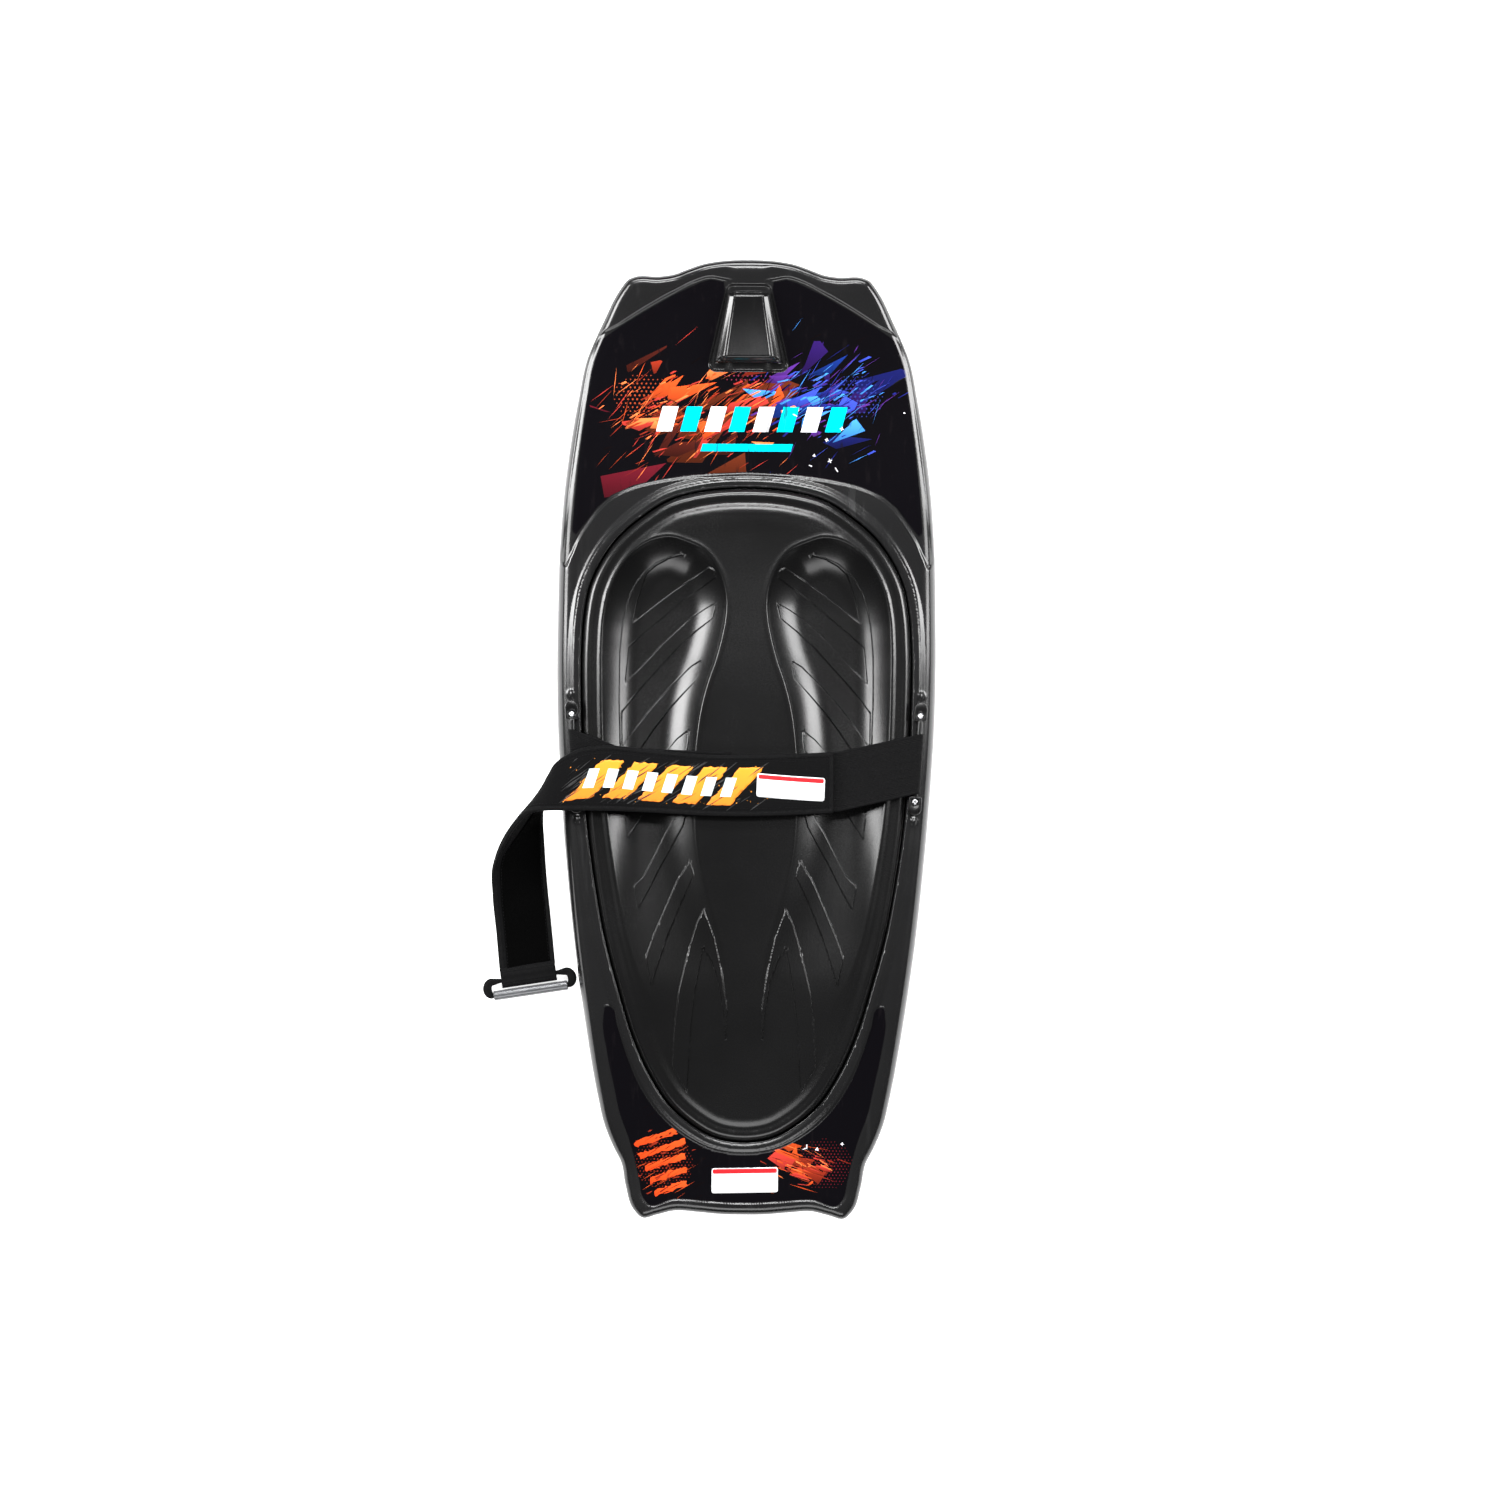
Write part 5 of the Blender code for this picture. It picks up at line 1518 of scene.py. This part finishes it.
def build_print():
    draw = random.Random(5)
    # Five plain slanted strokes, evenly spaced.
    strokes = []
    for n in range(5):
        x = -236 + 46 * n
        strokes.append([(x, -26), (x + 32, -26), (x + 76, 24), (x + 44, 24)])
    shapes = [(ragged(mm_loop(s), draw, 0.0009), (238, 148, 12), (228, 122, 6)) for s in strokes]
    dark = (17, 17, 18)
    for _ in range(84):
        x, y = draw.uniform(-244, 30), draw.uniform(-31, 28)
        long, wide = draw.uniform(8, 52), draw.uniform(0.3, 2.0)
        a = 0.62 + draw.gauss(0, 0.05)
        dx, dy = math.cos(a) * long / 2, math.sin(a) * long / 2
        shapes.append((mm_loop([(x - dx, y - dy), (x - dx * .2, y - dy * .2 + wide), (x + dx, y + dy),
                                (x + dx * .3, y + dy * .3 - wide * .5)]), dark, dark))
    for _ in range(60):
        x, y = draw.uniform(-240, 30), draw.uniform(-30, 28)
        shapes.append((disc(x, y, draw.uniform(0.3, 0.9), 6) * MM, (240, 150, 20), (240, 150, 20)))
    pale = (226, 242, 250)
    for n in range(8):
        x, drop = -216.0 + 26.0 * n, -2.6 * n / 7
        shapes.append((mm_loop([(x, -12 + drop), (x + 8, 13 + drop), (x + 22, 12.7 + drop),
                                (x + 14, -12.3 + drop)]),
                       (236, 248, 255), pale))
    outer = rounded_quad([(-243, 31), (34, 31), (34, -33), (-243, -33)], 3)
    loose = hex_grid(outer.min(0), outer.max(0), 0.0042)
    made = painted("strap_print_sheet", outer, [], shapes, loose, print_place(0.00022), print_place(-0.0004),
                   STRAP_PRINT)
    placed(made, "strap")
    label = rounded_quad([(15, 16.5), (105, 6.5), (104, -24.5), (14, -14.5)], 3)
    header = rounded_quad([(17, 14.9), (103.6, 5.3), (103.2, -0.5), (16.6, 9.1)], 1)
    loose = hex_grid(label.min(0), label.max(0), 0.0042)
    made = painted("strap_label_sheet", label, [], [(header, (198, 30, 38), (190, 24, 32))], loose,
                   print_place(0.0007),
                   print_place(-0.0003), CREAM_PRINT, base=(240, 240, 242))
    placed(made, "strap", ["strap_label"])


def web_rows(side, offset, ends):
    """Edge pairs of webbing that wraps an anchor's bar, then runs to the given ends."""
    along, outward = anchor_axes(side)
    outward = outward * side
    rows = []
    for step in range(57):
        angle = math.radians(142 + 5.5 * step)
        reach = outward * math.cos(angle) + np.array([0, 0, math.sin(angle)])
        centre = np.array([side * ANCHOR[0], ANCHOR[1], BAR_Z]) + along * offset + reach * 0.0051
        rows.append(np.concatenate([centre + along * WEB_HALF, centre - along * WEB_HALF]))
    first = rows[-1]
    target = np.concatenate([ends[0], ends[0] - (0, 2 * WEB_HALF, 0)])
    rows += [first + (target - first) * t for t in np.linspace(0, 1, 26)[1:]]
    for a, b in zip(ends, ends[1:]):
        rows += [np.concatenate([a + (b - a) * t, a + (b - a) * t - (0, 2 * WEB_HALF, 0)])
                 for t in np.linspace(0, 1, 14)[1:]]
    return np.array(rows)


def build_web(name, side, offset, ends, body, node):
    rows = web_rows(side, offset, ends)
    a, b = rows[:, :3], rows[:, 3:]
    mid = (a + b) / 2
    run = run_of(mid)
    n = unit(np.cross(a - b, np.gradient(mid, axis=0)))
    count = 181
    share = np.linspace(1, -1, count)
    rib = 0.00012 * np.cos(share * WEB_HALF * 2 * math.pi / 0.0027)
    edge = np.sqrt(np.maximum(1 - np.abs(share) ** 60, 0.02))
    selvedge = 0.00022 * ss((np.abs(share) - 0.90) / 0.02)
    high = (0.0008 + rib + selvedge) * edge
    rings, uvs = [], []
    for k in range(len(rows)):
        line = mid[k] + (a[k] - b[k])[None] / 2 * share[:, None]
        top = line + n[k] * high[:, None]
        bottom = line[::-1] - n[k] * high[::-1][:, None]
        rings.append(np.vstack([top, bottom]))
        flat = np.column_stack([np.full(count, run[k]), share * WEB_HALF])
        uvs.append(np.vstack([flat, flat[::-1]]))
    made = lofted(name, rings, WEBBING, uvs)
    placed(made, body, [node])


def build_tail_panel():
    """Hook tape on the face that the fold turns upwards, inside a lighter margin."""
    runs = np.linspace(0.430, STRAP_LENGTH - 0.002, 150)
    shares = np.linspace(0.84, -0.72, 26)
    begin = 0.430 + 0.055 * np.clip(0.3 - shares, 0, None)
    rings, uvs = [], []
    for t in np.linspace(0, 1, 150):
        r = begin + (STRAP_LENGTH - 0.002 - begin) * t
        low = strap_place(r, shares, 0.0002, top=False)
        n = unit(along_strap(r, strap_normal))
        up = low - n * 0.0012
        rings.append(np.vstack([low + n * 0.0006, up[::-1]]))
        uvs.append(np.column_stack([np.concatenate([r, r[::-1]]), np.concatenate([shares, shares[::-1]])
                                    * 0.036]))
    made = lofted("tail_hook_strip", rings, HOOKS, uvs)
    bent(made, ["tail_hook_panel"])
    n = -unit(along_strap(runs, strap_normal))
    parts = []
    for share in (0.81, -0.69):
        p = strap_place(runs, np.full(len(runs), share), 0.0014, top=False)
        parts += stitch_line(p, n)
    made = sewn("tail_hook_stitching", parts)
    bent(made)


def build_handle():
    centre = np.array([-0.2895, -0.3160, 0.0095])
    along = np.array([0.988, 0.153, 0.0])
    along /= np.linalg.norm(along)
    down = np.array([along[1], -along[0], 0])
    up = np.array([0, 0, 1.0])

    # Sleeve: a flattened tube of sewn webbing, open at both ends for the loop.
    rings, uvs = [], []
    outer = flat_section(0.0136, 0.0046, 44) - (0.0034, 0)
    inner = flat_section(0.0036, 0.0034, 44)
    spans = np.linspace(-0.0370, 0.0370, 75)
    for k, t in enumerate(spans):
        soft = 1 + 0.03 * math.sin(t * 310) + 0.02 * math.sin(t * 130 + 1)
        shape = outer * (1, soft)
        rings.append(centre + along * t + shape[:, :1] * down + shape[:, 1:] * up)
        uvs.append(np.column_stack([np.full(44, t), np.linspace(0, 0.05, 44)]))
    for t in spans[::-1]:
        rings.append(centre + along * t + inner[:, :1] * down + inner[:, 1:] * up)
        uvs.append(np.column_stack([np.full(44, t), np.linspace(0, 0.03, 44)]))
    rings.append(rings[0])
    uvs.append(uvs[0])
    verts = np.array(rings).reshape(-1, 3)
    made = mesh_piece("end_sleeve", verts, ring_faces(44, len(rings)), WEBBING)
    lay_out(made, np.array(uvs).reshape(-1, 2))
    fix_normals(made, WELD)
    placed(made, "strap_end", ["end_pocket"])
    parts = []
    for across in (-0.0136, 0.0072):
        p = np.array([centre + along * t + down * across + up * 0.00435
                      for t in np.linspace(-0.035, 0.035, 40)])
        parts += stitch_line(p, np.tile(up, (40, 1)), 0.0036, 0.0024, 0.0005)
    for t in (-0.0345, 0.0345):
        p = np.array([centre + along * t + down * a + up * 0.00445 for a in np.linspace(-0.0125, 0.006, 16)])
        parts += stitch_line(p, np.tile(up, (16, 1)), 0.0034, 0.0022, 0.0005)
    made = sewn("sleeve_stitching", parts)
    placed(made, "strap_end")

    # Loop: flat webbing through the sleeve and the grip, wide where it shows at the two ends.
    half = GRIP_DROP / 2
    track, wide, high = [], [], []
    for side in (1, -1):
        for step in range(49):
            a = math.radians(-90 + 180 * step / 48)
            track.append(centre + along * side * (0.0500 + half * math.cos(a) * 0.80) + down
                         * (half + side * half * math.sin(a)))
            inner = 1 if side * a < 0 else max(math.cos(a), 0) ** 0.6
            wide.append(1 + 0.9 * inner + 0.3 * max(math.cos(a), 0))
            high.append(1 + 0.2 * inner + 0.25 * max(math.cos(a), 0))
        for t in np.linspace(0, 1, 30)[1:-1]:
            y = GRIP_DROP if side == 1 else 0.0
            track.append(centre + along * side * 0.0500 * (1 - 2 * t) + down * y)
            out = 0 if side == 1 else max(abs(t - 0.5) * 0.1 - 0.038, 0) / 0.012
            wide.append(1 + 0.9 * out)
            high.append(1 + 0.2 * out)
    track = np.array(track)
    ahead = unit(np.roll(track, -1, 0) - np.roll(track, 1, 0))
    across = unit(np.cross(ahead, up))
    rings, uvs = [], []
    run = run_of(track)
    for k in range(len(track)):
        s = flat_section(0.0027 * wide[k], 0.0027 * high[k], 24)
        rings.append(track[k] + s[:, :1] * across[k] + s[:, 1:] * up)
        uvs.append(np.column_stack([np.full(24, run[k]), np.linspace(0, 0.018, 24)]))
    verts = np.array(rings).reshape(-1, 3)
    made = mesh_piece("pull_webbing", verts, joined_rings(24, len(rings)), WEBBING)
    lay_out(made, np.array(uvs).reshape(-1, 2))
    fix_normals(made)
    placed(made, "pull_handle", ["pull_loop"])

    # Grip: a thick-walled tube with softened mouths.
    grip = centre + down * GRIP_DROP
    profile = [(.0038, -.0500), (.0044, -.0500), (.0056, -.0500), (.0062, -.0496), (.0065, -.0488)]
    profile += [(.0065 - .00010 * (k % 2), t) for k, t in enumerate(np.linspace(-.0470, .0470, 41))]
    profile += [(r, -t) for r, t in reversed(profile[:5])]
    profile += [(.0038, t) for t in np.linspace(.0490, -.0490, 30)]
    rings = []
    a = np.linspace(0, 2 * math.pi, 64, endpoint=False)
    for r, t in profile + profile[:1]:
        rings.append(grip + along * t + (np.cos(a) * r)[:, None] * down + (np.sin(a) * r)[:, None] * up)
    verts = np.array(rings).reshape(-1, 3)
    made = mesh_piece("grip_sleeve", verts, ring_faces(64, len(rings)), GRIP)
    fix_normals(made, WELD)
    placed(made, "grip", ["grip_tube"])


def build_strap():
    web_z = 0.0742
    build_cover()
    build_binding()
    build_stitches()
    build_print()
    build_web("right_webbing", 1, -0.007, [np.array((0.1250, -0.0110, web_z)),
                                           np.array((0.0905, -0.0135, web_z))],
              "strap", "strap_web_right")
    build_web("left_webbing_band", -1, -0.003,
              [np.array((-0.165, -0.0080, web_z)), np.array((-0.020, -0.0130, web_z))],
              "left_webbing", "strap_web_left")
    build_tail_panel()
    build_handle()
    for node in ("hook_patch", "loop_patch"):
        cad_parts[node].data.materials.clear()
        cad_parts[node].data.materials.append(HOOKS)


build_strap()


# ---------------------------------------------------------------- camera, floor and light

def area_light(name, place, aim, size, power):
    data = bpy.data.lights.new(name, "AREA")
    data.shape = "RECTANGLE"
    data.size, data.size_y = size
    data.energy = power
    made = bpy.data.objects.new(name, data)
    bpy.context.scene.collection.objects.link(made)
    made.location = place
    made.rotation_euler = (Vector(aim) - Vector(place)).to_track_quat("-Z", "Y").to_euler()
    return made


def floor_look():
    look = Finish("floor_paper", (0.93, 0.93, 0.93), 0.7)
    look.tint(look.span(look.noise(3, 2), 0.3, 0.7, 0, 0.2), (0.90, 0.90, 0.90))
    look.bump(look.noise(300, 2), 0.02, 0.0005)
    look.set(look.bsdf, {"Emission Color": (1, 1, 1, 1), "Emission Strength": 0.82,
                         "Specular IOR Level": 0.1})
    return look.mat


# Straight above the deck, as in the photo.
CAMERA_PLACE, CAMERA_TURN, CAMERA_LENS = (0.0054, -0.0100, 5.60), 0.0063, 100
FLOOR_HALF, WORLD_LIGHT = 6.0, 0.02


def stage_and_light():
    size = FLOOR_HALF
    floor = mesh_piece("floor", [(-size, -size, -0.001), (size, -size, -0.001), (size, size, -0.001),
                                 (-size, size, -0.001)],
                       [(0, 1, 2, 3)], floor_look(), smooth=False)
    lights = [
        area_light("left_box", (-2.3, 0.66, 1.5), (0, 0.3, 0.05), (0.9, 1.4), 92),
        area_light("right_box", (2.3, 0.66, 1.5), (0, 0.3, 0.05), (0.9, 1.4), 72),
        area_light("nose_high", (0, 1.5, 3.2), (0, 0.1, 0.05), (1.6, 0.5), 66),
        area_light("nose_low", (0, 2.5, 1.9), (0, 0.3, 0.05), (2.6, 0.6), 105),
        area_light("tail_box", (0, -2.5, 2.3), (0, -0.2, 0.05), (3.0, 1.3), 62),
    ]
    world = bpy.data.worlds.new("studio")
    bpy.context.scene.world = world
    world.use_nodes = True
    world.node_tree.nodes["Background"].inputs[0].default_value = (1, 1, 1, 1)
    world.node_tree.nodes["Background"].inputs[1].default_value = WORLD_LIGHT
    camera = bpy.data.cameras.new("camera")
    camera.lens = CAMERA_LENS
    camera.clip_end = 50
    shot = bpy.data.objects.new("camera", camera)
    bpy.context.scene.collection.objects.link(shot)
    shot.location = CAMERA_PLACE
    shot.rotation_euler = (0, 0, CAMERA_TURN)
    bpy.context.scene.camera = shot
    bpy.context.scene.view_settings.view_transform = "Standard"
    bpy.context.scene.view_settings.look = "None"


stage_and_light()
